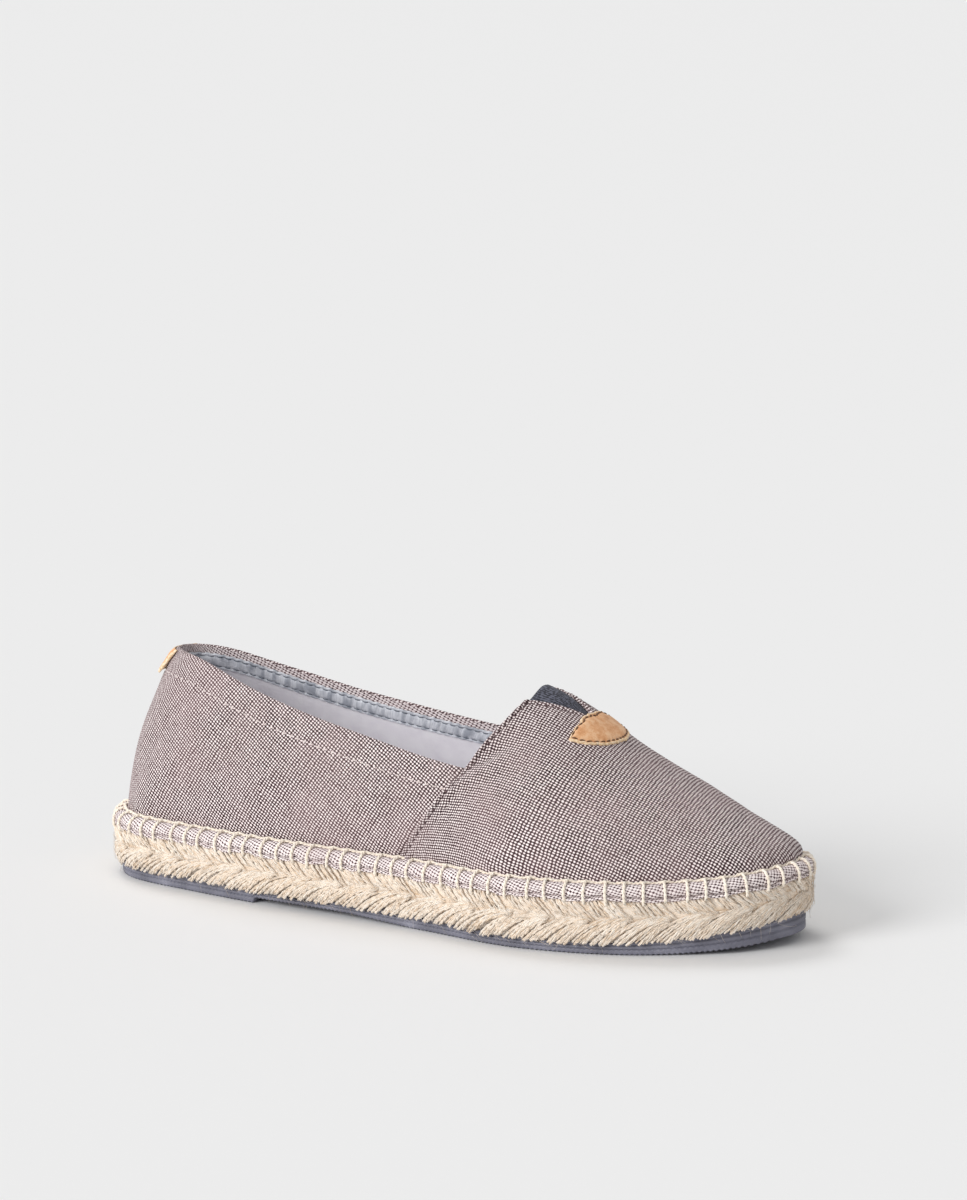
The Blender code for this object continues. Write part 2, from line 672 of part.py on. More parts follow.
def make_heel_tab():
    """Leather strip sewn at the collar's back, its foot standing off."""
    top = collar_rise(0.0, -1)
    half = HEEL_TAB_WIDTH / 2
    shares = np.linspace(-1, 1, HEEL_TAB_COLUMNS)
    downs = np.linspace(0, 1, HEEL_TAB_ROWS)
    skins = []
    for depth in (0, HEEL_TAB_THICKNESS):
        rows = []
        for down in downs:
            rise = rise_below(0.0, -1, top, HEEL_TAB_DROP + HEEL_TAB_HEIGHT * down)
            row = []
            for share in shares:
                side = -1 if share < 0 else 1
                level = last_point(0.0, -1, rise)
                reach = last_point(HEEL_TAB_FOOT_SHARE, side, rise)
                foot = HEEL_TAB_FOOT_SHARE * abs(share) * half / abs(reach[1] - level[1])
                stand = CLEARANCE + depth + HEEL_TAB_STAND * down ** 2
                row.append(on_last(foot, side, rise, stand))
            rows.append(row)
        skins.append(np.array(rows))
    inner, outer = skins
    bm = bmesh.new()
    add_grid(bm, outer)
    add_grid(bm, inner)
    for end in (0, -1):
        add_grid(bm, [outer[end], inner[end]])
        add_grid(bm, [outer[:, end], inner[:, end]])
    return finish(bm, "heel_tab", (0.58, 0.34, 0.14), 0.6)


PARTS = bpy.data.collections.new("espadrille")
bpy.context.scene.collection.children.link(PARTS)

make_outsole()
make_midsole()
make_insole()
make_upper()
make_gore()
make_throat_tab()
make_collar_binding()
make_heel_tab()
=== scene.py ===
# Slip-on espadrille, right shoe: a canvas upper stitched over a braided jute
# sole with a rubber tread. Metres. +X toe, +Y inner side of the foot, +Z up.

import math

import bmesh
import bpy
import numpy as np
from mathutils import Matrix, Vector


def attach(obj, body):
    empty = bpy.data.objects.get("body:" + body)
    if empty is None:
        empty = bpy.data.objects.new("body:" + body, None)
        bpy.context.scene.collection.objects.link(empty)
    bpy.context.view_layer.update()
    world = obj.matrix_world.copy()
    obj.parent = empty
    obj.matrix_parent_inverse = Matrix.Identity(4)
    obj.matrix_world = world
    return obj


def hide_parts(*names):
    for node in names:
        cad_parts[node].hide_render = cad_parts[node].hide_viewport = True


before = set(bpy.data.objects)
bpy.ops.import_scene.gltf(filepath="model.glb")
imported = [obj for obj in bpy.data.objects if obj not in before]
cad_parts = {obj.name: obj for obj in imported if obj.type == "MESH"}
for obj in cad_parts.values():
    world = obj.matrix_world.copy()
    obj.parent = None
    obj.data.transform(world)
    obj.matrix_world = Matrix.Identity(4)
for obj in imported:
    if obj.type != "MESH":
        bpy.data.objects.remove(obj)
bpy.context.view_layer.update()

# Outsole: a tray of vulcanised rubber, moulded with fine bars under the foot
# and two grooves round its side. The yarns of the braid press into its rim,
# which leaves a ragged line of rubber between them.

MM = 0.001
LENGTH = 0.280
BALL_WIDTH = 0.102
OUTER_SIDE = [
    # share of LENGTH from the heel, share of BALL_WIDTH outwards
    (0.000, 0.000), (0.013, 0.150), (0.055, 0.262), (0.140, 0.322),
    (0.250, 0.372), (0.350, 0.400), (0.450, 0.420), (0.550, 0.448),
    (0.650, 0.495), (0.730, 0.484), (0.810, 0.430), (0.890, 0.325),
    (0.955, 0.200), (0.988, 0.070), (1.000, -0.050),
]
INNER_SIDE = [
    (0.988, 0.165), (0.945, 0.270), (0.880, 0.370), (0.800, 0.448),
    (0.720, 0.490), (0.640, 0.488), (0.550, 0.445), (0.450, 0.392),
    (0.350, 0.355), (0.250, 0.335), (0.140, 0.312), (0.055, 0.258),
    (0.013, 0.150),
]
TOE_SPRING, TOE_SPRING_SHARE = 0.004, 0.82
RUBBER_RIM, TOE_BUMPER, TOE_BUMPER_SHARE = 0.0033, 0.0037, 0.70
RUBBER_INSET, RUBBER_LIP, RUBBER_FLOOR = 0.0020, 0.0022, 0.0023
HEEL_BLOCK, HEEL_BLOCK_LENGTH, ARCH_RISE = 0.0013, 0.0755, 0.0007
FOREFOOT_SHARE, ARCH_BLEND_SHARE = 0.54, 0.15
JUTE_HEIGHT, HEM_DEPTH, CREASE_TILT = 0.0235, 0.0040, 0.0020
BRAID_PITCH = 0.0149
RUBBER_TOP_AT_HEEL, RUBBER_TOP_DROP = 1.5, 0.9
BAR_PITCH, BAR_HALF_HEIGHT, GROOVE_DEPTH = 0.0017, 0.22 * MM, 0.0005
RUBBER_STATIONS, RUBBER_FLOOR_ROWS = 820, 21
RUBBER_SIDE = [
    # share of the side's height, 1 in a groove
    (0.16, 0), (0.28, 0), (0.33, 1), (0.38, 1), (0.43, 0),
    (0.55, 0), (0.66, 0), (0.70, 1), (0.75, 1), (0.80, 0),
]


def spline(knots, values, closed=False):
    """Cubic curve through the values, natural or closed, as a function."""
    knots = np.asarray(knots, float)
    values = np.asarray(values, float).reshape(len(knots), -1)
    steps = np.diff(knots)
    slopes = np.diff(values, axis=0) / steps[:, None]
    count = len(knots)
    system = np.zeros((count, count))
    right = np.zeros(values.shape)
    for i in range(1, count - 1):
        system[i, i - 1:i + 2] = steps[i - 1], 2 * (steps[i - 1] + steps[i]), steps[i]
        right[i] = 6 * (slopes[i] - slopes[i - 1])
    if closed:
        system[0, [0, 1, -2]] = 2 * (steps[0] + steps[-1]), steps[0], steps[-1]
        system[-1, [0, -1]] = 1, -1
        right[0] = 6 * (slopes[0] - slopes[-1])
    else:
        system[0, 0] = system[-1, -1] = 1
    bend = np.linalg.solve(system, right)

    def at(x):
        x = np.asarray(x, float)
        i = np.clip(np.searchsorted(knots, x, side="right") - 1, 0, count - 2)
        step = steps[i][..., None]
        a = (x - knots[i])[..., None]
        b = (knots[i + 1] - x)[..., None]
        cubic = (bend[i] * b ** 3 + bend[i + 1] * a ** 3) / (6 * step)
        return (cubic + (values[i] / step - bend[i] * step / 6) * b
                + (values[i + 1] / step - bend[i + 1] * step / 6) * a)

    return at


def running_length(points):
    """Length so far at each point of a line, or of each line of a stack."""
    steps = np.linalg.norm(np.diff(points, axis=-2), axis=-1)
    start = np.zeros(steps.shape[:-1] + (1,))
    return np.concatenate([start, np.cumsum(steps, axis=-1)], axis=-1)


def unit(vectors):
    """The vectors, each with a length of one."""
    return vectors / np.linalg.norm(vectors, axis=-1, keepdims=True)


def points_at(places, run, line):
    """Points of a line at some places along it; run is its own length so far."""
    return np.stack([np.interp(places, run, line[:, i]) for i in range(line.shape[1])], -1)


def measured_outline():
    """Dense outline of the sole, centred, with its running length."""
    rows = [(x, -y) for x, y in OUTER_SIDE] + INNER_SIDE + [OUTER_SIDE[0]]
    points = np.array(rows) * (LENGTH, BALL_WIDTH)
    chords = np.linalg.norm(np.diff(points, axis=0), axis=1)
    knots = np.concatenate(([0], np.cumsum(np.sqrt(chords))))
    path = spline(knots, points, closed=True)(np.linspace(0, knots[-1], 4001))
    path[:, 1] -= (path[:, 1].min() + path[:, 1].max()) / 2
    path[:, 0] = (path[:, 0] - path[:, 0].min()) * LENGTH / np.ptp(path[:, 0])
    return path, running_length(path)


OUTLINE, RUN = measured_outline()
PERIMETER = RUN[-1]
TOE_RUN = RUN[OUTLINE[:, 0].argmax()]


def outline_at(run):
    """Point of the outline; it runs up the outer side and down the inner one."""
    return points_at(np.mod(run, PERIMETER), RUN, OUTLINE)


def outward(run):
    """Unit vector square to the outline, pointing away from the foot."""
    ahead = unit(outline_at(run + 0.5 * MM) - outline_at(run - 0.5 * MM))
    return np.stack([ahead[..., 1], -ahead[..., 0]], -1)


def toe_lift(x):
    """How far the toe spring has lifted the sole at x."""
    share = np.clip((x / LENGTH - TOE_SPRING_SHARE) / (1 - TOE_SPRING_SHARE), 0, 1)
    return TOE_SPRING * share ** 2


def rim_height(x):
    """Height of the tray's rim, which rises to a small bumper at the toe."""
    share = np.clip((x / LENGTH - TOE_BUMPER_SHARE) / (1 - TOE_BUMPER_SHARE), 0, 1)
    return RUBBER_RIM + TOE_BUMPER * share ** 2


def smooth(share):
    """Ease from 0 to 1 as the share goes from 0 to 1."""
    share = np.clip(share, 0, 1)
    return share * share * (3 - 2 * share)


def rubber_top(x):
    """Height of the rubber's ragged line, which stands highest at the heel."""
    drop = RUBBER_TOP_DROP * smooth((x / LENGTH - 0.45) / 0.25)
    return rim_height(x) + (RUBBER_TOP_AT_HEEL - drop) * MM


def edge_point(run, inset, height):
    """Point at an inset from the outline, its height taken with the sole."""
    run, inset, height = np.broadcast_arrays(run, inset, height)
    flat = outline_at(run) - outward(run) * inset[..., None]
    return np.concatenate([flat, (height + toe_lift(flat[..., 0]))[..., None]], -1)


def run_at_x(x, side):
    """Place along the outline at x; side is -1 for the outer one, else 1."""
    toe = OUTLINE[:, 0].argmax()
    if side < 0:
        return np.interp(x, OUTLINE[:toe + 1, 0], RUN[:toe + 1])
    return np.interp(x, OUTLINE[:toe - 1:-1, 0], RUN[:toe - 1:-1])


def tilt(run):
    """The sandwich of jute and hem grows a little thicker towards the toe."""
    return CREASE_TILT * (outline_at(run)[..., 0] / LENGTH - 0.5)


def ripple(place, wave, seed):
    """Smooth noise from -1 to 1 along a length, closed round the sole."""
    count = max(4, round(PERIMETER / wave))
    values = np.random.default_rng(seed).uniform(-1, 1, count)
    share = np.mod(place / PERIMETER, 1) * count
    low = np.floor(share).astype(int)
    part = smooth(share - low)
    return values[low % count] * (1 - part) + values[(low + 1) % count] * part


def uv_grid(along, across):
    """The uv of a grid, from its lengths or numbers both ways."""
    return np.stack(np.broadcast_arrays(along, across), -1)


def rows_between(first, last, count):
    """Grid of straight rows that fills the gap from one line to another."""
    share = np.linspace(0, 1, count)[:, None, None]
    return first * (1 - share) + last * share


def linear(code):
    """Linear RGBA from an sRGB hex colour."""
    parts = np.array([int(code[i:i + 2], 16) for i in (1, 3, 5)]) / 255
    low = parts / 12.92
    high = ((parts + 0.055) / 1.055) ** 2.4
    return (*np.where(parts <= 0.04045, low, high), 1.0)


def link(material, value, socket):
    """Gives a socket a value, a node's first output or another socket."""
    if isinstance(value, bpy.types.Node):
        value = value.outputs[0]
    if isinstance(value, bpy.types.NodeSocket):
        material.node_tree.links.new(value, socket)
    else:
        socket.default_value = value


def add(material, kind, inputs=None, stops=(), **settings):
    """A node with its settings; inputs are values, or what is linked in.

    Stops are the places and the hex colours of a colour ramp.
    """
    node = material.node_tree.nodes.new("ShaderNode" + kind)
    for name, value in settings.items():
        setattr(node, name, value)
    for socket, value in (inputs or {}).items():
        link(material, value, node.inputs[socket])
    for i, (place, code) in enumerate(stops):
        elements = node.color_ramp.elements
        element = elements[i] if i < 2 else elements.new(place)
        element.position, element.color = place, linear(code)
    return node


def new_material(name, **values):
    """A node material; the values go on its shader's own sockets."""
    material = bpy.data.materials.new(name)
    material.use_nodes = True
    shader = material.node_tree.nodes["Principled BSDF"]
    for socket, value in values.items():
        shader.inputs[socket.replace("_", " ")].default_value = value
    return material, shader


def finish_material(material, shader, colour, height, depth):
    """Links the colour and a bump of that depth in metres."""
    link(material, colour, shader.inputs["Base Color"])
    bump = add(material, "Bump", {"Height": height, "Distance": depth})
    link(material, bump, shader.inputs["Normal"])
    return material


def build(name, grids, materials, slot, *nodes):
    """One closed smooth piece from grids of (points, uv, material index)."""
    corners, faces, uvs, slots = [], [], [], []
    base = 0
    for points, uv, index in grids:
        rows, columns = points.shape[-3:-1]
        points = points.reshape(-1, rows, columns, 3)
        uv = np.broadcast_to(uv, points.shape[:-1] + (2,)).reshape(-1, 2)
        order = np.arange(len(points) * rows * columns).reshape(-1, rows, columns)
        quads = np.stack([order[:, :-1, :-1], order[:, :-1, 1:], order[:, 1:, 1:],
                          order[:, 1:, :-1]], -1).reshape(-1, 4)
        faces.append(quads + base)
        uvs.append(uv[quads])
        slots.append(np.full(len(quads), index))
        corners.append(points.reshape(-1, 3))
        base += order.size
    corners, faces = np.concatenate(corners), np.concatenate(faces)
    mesh = bpy.data.meshes.new(name)
    mesh.from_pydata(corners - (LENGTH / 2, 0, 0), [], faces.tolist())
    layer = mesh.uv_layers.new(name="cloth")
    layer.data.foreach_set("uv", np.concatenate(uvs).astype(np.float32).ravel())
    mesh.polygons.foreach_set("material_index", np.concatenate(slots).astype(np.int32))
    bm = bmesh.new()
    bm.from_mesh(mesh)
    bmesh.ops.remove_doubles(bm, verts=bm.verts, dist=2e-6)
    bmesh.ops.recalc_face_normals(bm, faces=bm.faces)
    bm.to_mesh(mesh)
    bm.free()
    mesh.shade_smooth()
    for material in materials:
        mesh.materials.append(material)
    piece = bpy.data.objects.new(name, mesh)
    bpy.context.scene.collection.objects.link(piece)
    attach(piece, "root")
    if nodes:
        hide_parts(*nodes)


def rubber_material():
    """Vulcanised rubber, moulded: dull, with a fine matt skin and some dust."""
    material, shader = new_material("moulded_rubber", Roughness=0.55, IOR=1.52)
    place = add(material, "TexCoord").outputs["Object"]
    dust = add(material, "TexNoise", {"Vector": place, "Scale": 90.0, "Detail": 6.0})
    colour = add(material, "ValToRGB", {0: dust},
                 [(0.30, "#62626E"), (0.55, "#797987"), (0.75, "#91919F")])
    # skin grain of 0.25 mm, drawn at 0.4 mm so that it shows
    skin = add(material, "TexNoise", {"Vector": place, "Scale": 2500.0})
    return finish_material(material, shader, colour, skin, 0.05 * MM)


def make_outsole():
    """Both sides of the tray, from tread to floor, closed below and above."""
    t = np.linspace(0, 1, RUBBER_STATIONS + 1)
    # stations lie closer together at heel and toe, where the outline turns
    stations = LENGTH * (0.62 * t + 0.38 * (1 - np.cos(math.pi * t)) / 2)
    arch = smooth((FOREFOOT_SHARE - stations / LENGTH) / ARCH_BLEND_SHARE)
    step = smooth((stations - HEEL_BLOCK_LENGTH) / (0.6 * MM))
    tread = step * arch * (HEEL_BLOCK + ARCH_RISE)
    bars = BAR_HALF_HEIGHT * (1 - np.cos(2 * math.pi * stations / BAR_PITCH))
    tread = tread + bars * smooth(stations / (4 * MM)) * smooth((LENGTH - stations) / (4 * MM))
    rim = rubber_top(stations)
    grids, levels = [], []
    for side in (-1, 1):
        run = run_at_x(stations, side)
        ragged = (0.50 * ripple(run, 1.6 * MM, 11) + 0.40 * ripple(run, 0.9 * MM, 12)
                  + 1.1 * np.abs(np.sin(math.pi * (run / BRAID_PITCH + 0.3))) ** 6) * MM
        low = tread + 0.5 * MM
        rows = [(0.0005, tread), (0.0001, tread + 0.15 * MM), (0, low)]
        rows += [(GROOVE_DEPTH * groove, low + share * (rim - low))
                 for share, groove in RUBBER_SIDE]
        rows += [(0.0, rim - 0.2 * MM + ragged), (0.0003, rim + ragged),
                 (0.0010, rim + 0.6 * ragged), (RUBBER_LIP, rim - 0.1 * MM),
                 (RUBBER_LIP, RUBBER_FLOOR + 0 * rim)]
        wall = np.array([edge_point(run, RUBBER_INSET + inset, height)
                         for inset, height in rows])
        grids.append((wall, uv_grid(run / MM, np.arange(len(rows))[:, None]), 0))
        levels.append((wall[0], wall[-1]))
    for outer, inner in zip(*levels):
        cap = rows_between(outer, inner, RUBBER_FLOOR_ROWS)
        grids.append((cap, cap[..., :2] / MM, 0))
    build("rubber_outsole", grids, [rubber_material()], "outsole_rubber", "outsole")


make_outsole()

# Jute midsole: three strands of loose two-ply jute yarn, plaited flat and laid
# on edge in a coil. On the side the strands lie as chevrons that point to the
# toe, each one coming up from an edge and diving under the next at the middle.

BRAID_TOP = JUTE_HEIGHT - HEM_DEPTH - 0.3 * MM
# share of the braid's height where the strands cross, and the height itself
BRAID_MIDDLE, BRAID_TALL = 0.53, 0.0158
LOBE_ANGLE = 0.82
YARNS, YARN_POINTS, YARN_TWIST = 15, 17, 0.0062
PLY_RADIUS, PLY_SIDES = 0.00036, 4
COIL_PROFILE = [
    # inset and height in mm, from the tray's floor up to the shoulder
    (4.5, 2.6), (4.5, 3.6), (2.7, 3.6), (2.0, 8.0), (0.9, 11.0), (0.45, 15.0),
    (0.60, 19.0), (1.5, 21.0), (3.0, 22.6), (5.0, 23.2),
]
FIBRES, FIBRE_POINTS, FIBRE_RADIUS = 2600, 6, 0.045 * MM


def streaks(material, uv, scale, grain=1.0, detail=2.0, turn=0.0, rough=0.5):
    """Noise drawn out along threads or fibres, with a scale each way of the uv."""
    way = add(material, "Mapping", {"Vector": uv, "Scale": (*scale, 1.0),
                                    "Rotation": (0.0, 0.0, turn)})
    return add(material, "TexNoise", {"Vector": way, "Scale": grain, "Detail": detail,
                                      "Roughness": rough})


def jute_material():
    """Bleached jute: long stiff fibres, straw-pale with brown flecks, no gloss."""
    material, shader = new_material("jute_yarn", Roughness=0.85, IOR=1.53,
                                    Sheen_Weight=0.15, Sheen_Roughness=0.6)
    uv = add(material, "UVMap", uv_map="cloth")
    # fibres of 0.1 mm drawn at about 0.2 mm, long along the yarn
    fibre = streaks(material, uv, (0.22, 9.0), detail=5.0, turn=0.02, rough=0.65)
    lot = streaks(material, uv, (0.05, 0.9))
    both = add(material, "Math", {0: fibre, 1: lot}, operation="ADD")
    level = add(material, "Math", {0: both, 1: 0.5}, operation="MULTIPLY")
    colour = add(material, "ValToRGB", {0: level}, [
        (0.33, "#9A7650"), (0.40, "#E6CDAF"), (0.47, "#FCEAD6"), (0.58, "#FFF6EA")])
    return finish_material(material, shader, colour, fibre, 0.30 * MM)


jute = jute_material()


def beside_and_above(paths, outs):
    """Unit vectors square to each path: one beside it, one towards outs."""
    along = unit(np.gradient(paths, axis=1))
    side = unit(np.cross(along, outs))
    return side, np.cross(side, along)


def tubes(paths, radius, sides, number, outs=(0.0, 0.0, 1.0)):
    """Grids of closed tubes along (count, points, 3) paths, with their uv.

    uv is the length in millimetres and the turn, plus the tube's own number.
    """
    count, points = paths.shape[:2]
    radius = np.broadcast_to(radius, (count, points))
    side, up = beside_and_above(paths, outs)
    turn = np.linspace(0, 2 * math.pi, sides + 1)
    ring = (np.cos(turn)[:, None] * side[:, :, None] + np.sin(turn)[:, None] * up[:, :, None])
    body = paths[:, :, None] + ring * radius[..., None, None]
    ends = [np.repeat(paths[:, [i], None], sides + 1, axis=2) for i in (0, -1)]
    body = np.concatenate([ends[0], body, ends[1]], axis=1)
    length = running_length(paths)
    length = np.concatenate([length[:, :1], length, length[:, -1:]], axis=1) / MM
    number = np.broadcast_to(number, (count,))[:, None, None]
    return body, uv_grid(length[:, :, None] + 37.0 * number, turn / (2 * math.pi) + number)


def plied(paths, outs, radius, twist, phase=0.0):
    """Two plies twisted round each of the paths, which are (count, points, 3)."""
    side, up = beside_and_above(paths, outs)
    turn = 2 * math.pi * running_length(paths) / twist + np.reshape(phase, (-1, 1))
    swing = np.cos(turn)[..., None] * side + np.sin(turn)[..., None] * up
    reach = np.asarray(0.62 * radius)[..., None] * swing
    return np.concatenate([paths + reach, paths - reach])


def bezier(first, handle, last, t):
    """Curve from first to last, drawn towards the handle."""
    return first * (1 - t) ** 2 + 2 * handle * t * (1 - t) + last * t * t


def braid_height(run, share):
    """Height at a share of the way from the rubber's line to the hem."""
    low = rubber_top(outline_at(run)[..., 0]) + 0.5 * MM
    return low + share * (BRAID_TOP + tilt(run) - low)


def make_braid():
    """Each lobe of the plait as a fan of yarns, and the coil behind them."""
    rng = np.random.default_rng(5)
    pitch = PERIMETER / round(PERIMETER / BRAID_PITCH)
    lobes = np.arange(round(PERIMETER / pitch))
    t = np.linspace(0, 1, YARN_POINTS)
    rows = []
    for lower in (True, False):
        paths, radii, outs = [], [], []
        for lobe in lobes:
            eye = lobe * pitch + rng.uniform(-0.7, 0.7) * MM
            swell = rng.uniform(0.75, 1.2)
            drift = rng.uniform(-0.03, 0.03)
            for q in np.linspace(-1, 1, YARNS) + rng.uniform(-0.07, 0.07, YARNS):
                wander = rng.uniform(-0.42, 0.42, 4) * MM
                if lower:
                    start = eye - 1.06 * pitch + q * 0.52 * pitch + wander[0]
                    end = eye + 0.10 * pitch * (1 - q)
                    first_share = -0.03 + 0.055 * rng.uniform(-1, 1)
                    last_share = BRAID_MIDDLE + drift - 0.085 * q + 0.02 * (1 - q)
                    climb = (last_share - first_share) * BRAID_TALL
                    bend = start + climb / math.tan(LOBE_ANGLE) + wander[1]
                    bend_share = last_share + 0.01 * (1 - q)
                else:
                    end = eye - 0.22 * pitch + 0.44 * pitch * q + wander[0]
                    start = end - (7.0 + 0.8 * q) * MM + wander[1]
                    first_share = 1.05
                    last_share = BRAID_MIDDLE + drift - 0.06 - 0.01 * q
                    bend = start + 2.6 * MM + wander[2]
                    bend_share = 0.80
                run = bezier(start, bend, end, t) + wander[3] * np.sin(math.pi * t)
                share = bezier(first_share, bend_share, last_share, t)
                share = share + 0.012 * rng.uniform(-1, 1) * np.sin(2 * math.pi * t)
                # a lobe is fullest at its middle, and each yarn goes under at its end
                round_up = 1 - (0.40 + 0.45 * t) * q * q
                dive = smooth((t - (0.86 if lower else 0.66 + 0.14 * q)) / 0.22)
                tuck = smooth(1 - t / 0.22)
                out = (0.30 + 0.55 * round_up * swell) * MM - 1.6 * MM * dive
                out = out - (0.9 if lower else 1.2) * MM * tuck + rng.uniform(-0.15, 0.15) * MM
                paths.append(edge_point(run, -out + 1.3 * PLY_RADIUS, braid_height(run, share)))
                outs.append(np.concatenate([outward(run), np.zeros((YARN_POINTS, 1))], -1))
                thick = PLY_RADIUS * rng.uniform(0.82, 1.2)
                radii.append(thick * (1 - 0.25 * smooth((t - 0.8) / 0.2)))
        paths, radii, outs = np.array(paths), np.array(radii), np.array(outs)
        phase = rng.uniform(0, 2 * math.pi, len(paths))
        plies = plied(paths, outs, radii, YARN_TWIST, phase)
        body, uv = tubes(plies, np.concatenate([radii, radii]), PLY_SIDES,
                         np.arange(len(plies)), np.concatenate([outs, outs]))
        rows.append((body, uv, 0))
    # the coil behind the visible strands, up to the shoulder that carries the hem
    run = np.linspace(0, PERIMETER, 421)
    wall = []
    for inset, height in COIL_PROFILE:
        rise = 0 * run + height * MM + (tilt(run) if height > 16 else 0)
        if 3 < height < 4:
            rise = rim_height(outline_at(run)[:, 0]) + 0.3 * MM
        wall.append(edge_point(run, inset * MM, rise))
    wall = np.array(wall)
    half = len(run) // 2
    grids = [(wall, uv_grid(run / MM, np.arange(len(wall))[:, None] * 1.5), 0)]
    for level in (wall[0], wall[-1]):
        cap = rows_between(level[:half + 1], level[:half - 1:-1], 7)
        grids.append((cap, cap[..., :2] / MM, 0))
    build("jute_upper_lobes", rows[1:], [jute], "jute_braid")
    build("jute_lower_lobes", rows[:1], [jute], "jute_braid")
    build("jute_coil", grids, [jute], "jute_braid", "midsole")


make_braid()


def make_fibres():
    """Stray jute hairs that stand off the braid, some down over the rubber."""
    rng = np.random.default_rng(8)
    t = np.linspace(0, 1, FIBRE_POINTS)
    run = rng.uniform(0, PERIMETER, FIBRES)
    share = rng.beta(1.1, 1.5, FIBRES)
    length = rng.gamma(2.2, 1.6, FIBRES) * MM + 1.5 * MM
    lean = rng.normal(0.2, 0.9, FIBRES)
    curl = rng.normal(0, 0.9, FIBRES)
    lift = rng.uniform(0.1, 0.9, FIBRES) * MM
    angle = lean[:, None] + curl[:, None] * t
    runs = run[:, None] + np.cumsum(np.cos(angle), axis=1) * length[:, None] / FIBRE_POINTS
    heights = braid_height(run, share)[:, None] + np.cumsum(np.sin(angle), axis=1) * (
        length[:, None] / FIBRE_POINTS)
    heights = np.clip(heights, 1.2 * MM, 20 * MM)
    low = heights < rubber_top(outline_at(runs)[..., 0])
    out = 0.6 * MM + lift[:, None] * np.sin(math.pi * 0.8 * t)
    out = np.where(low, out - 1.2 * MM, out)
    paths = edge_point(runs, -out, heights)
    outs = np.concatenate([outward(runs), np.zeros(runs.shape + (1,))], -1)
    taper = FIBRE_RADIUS * np.linspace(1.2, 0.5, FIBRE_POINTS)
    body, uv = tubes(paths, taper, 3, np.arange(FIBRES), outs)
    build("stray_fibres", [(body, uv, 0)], [jute], "jute_braid")


make_fibres()

# Insole: a thin foam footbed faced with the same cloth as the lining, laid
# loose on the jute inside the upper.

CREASE_INSET, WALL, HEM_WALL = 0.0040, 0.0016, 0.0013
INSOLE_THICKNESS, INSOLE_GAP = 0.0025, 0.6 * MM
INSOLE_EDGE = [
    # inset and height as shares of the thickness
    (0.2, 0.0), (0.02, 0.12), (0.0, 0.4), (0.06, 0.7), (0.3, 0.95), (0.8, 1.0),
]


def lining_material():
    """Fine cotton twill, dyed lilac-grey: flat colour, faint thread lines."""
    material, shader = new_material("lining_cloth", Roughness=0.9, IOR=1.5,
                                    Sheen_Weight=0.25, Sheen_Roughness=0.5)
    uv = add(material, "UVMap", uv_map="cloth")
    # threads of 0.25 mm drawn at 0.5 mm so that they show
    weave = add(material, "TexChecker", {"Vector": uv, "Scale": 4.0})
    place = add(material, "TexCoord").outputs["Object"]
    wash = add(material, "TexNoise", {"Vector": place, "Scale": 160.0, "Detail": 5.0})
    mixed = add(material, "Math", {0: weave.outputs["Fac"], 1: 0.10, 2: wash},
                operation="MULTIPLY_ADD")
    colour = add(material, "ValToRGB", {0: mixed},
                 [(0.25, "#E9E5EC"), (0.50, "#F2EFF4"), (0.80, "#FAF8FB")])
    return finish_material(material, shader, colour, mixed, 0.12 * MM)


lining_cloth = lining_material()


def make_insole():
    """The footbed's rounded edge, its flat back and its slightly hollow face."""
    inset = CREASE_INSET + WALL + INSOLE_GAP
    stations = LENGTH * (1 - np.cos(np.linspace(0, math.pi, 161))) / 2
    thick = INSOLE_THICKNESS
    grids, walls = [], []
    for side in (-1, 1):
        run = run_at_x(stations, side)
        wall = np.array([edge_point(run, inset + a * thick, JUTE_HEIGHT + tilt(run) + b * thick)
                         for a, b in INSOLE_EDGE])
        walls.append(wall)
        grids.append((wall, uv_grid(run / MM, np.arange(len(wall))[:, None] * 0.5), 0))
    for level in (0, -1):
        cap = rows_between(walls[0][level], walls[1][level], 33)
        if level:
            # the heel and the ball have pressed it in a little
            a = np.linspace(0, 1, 33)[:, None] * 2 - 1
            x = cap[..., 0] / LENGTH
            dish = (0.7 * np.exp(-((x - 0.14) / 0.10) ** 2)
                    + 0.5 * np.exp(-((x - 0.68) / 0.13) ** 2)) * (1 - a ** 2) ** 1.5
            cap[..., 2] -= dish * MM
        grids.append((cap, cap[..., :2] / MM, 0))
    build("insole_footbed", grids, [lining_cloth], "insole_cloth", "insole")


make_insole()

# Upper: two canvas quarters and a vamp that laps over them, lined with cloth
# and shaped over a last. The canvas is turned over at the collar and the
# throat, and turned out at the bottom as a hem over the edge of the jute.

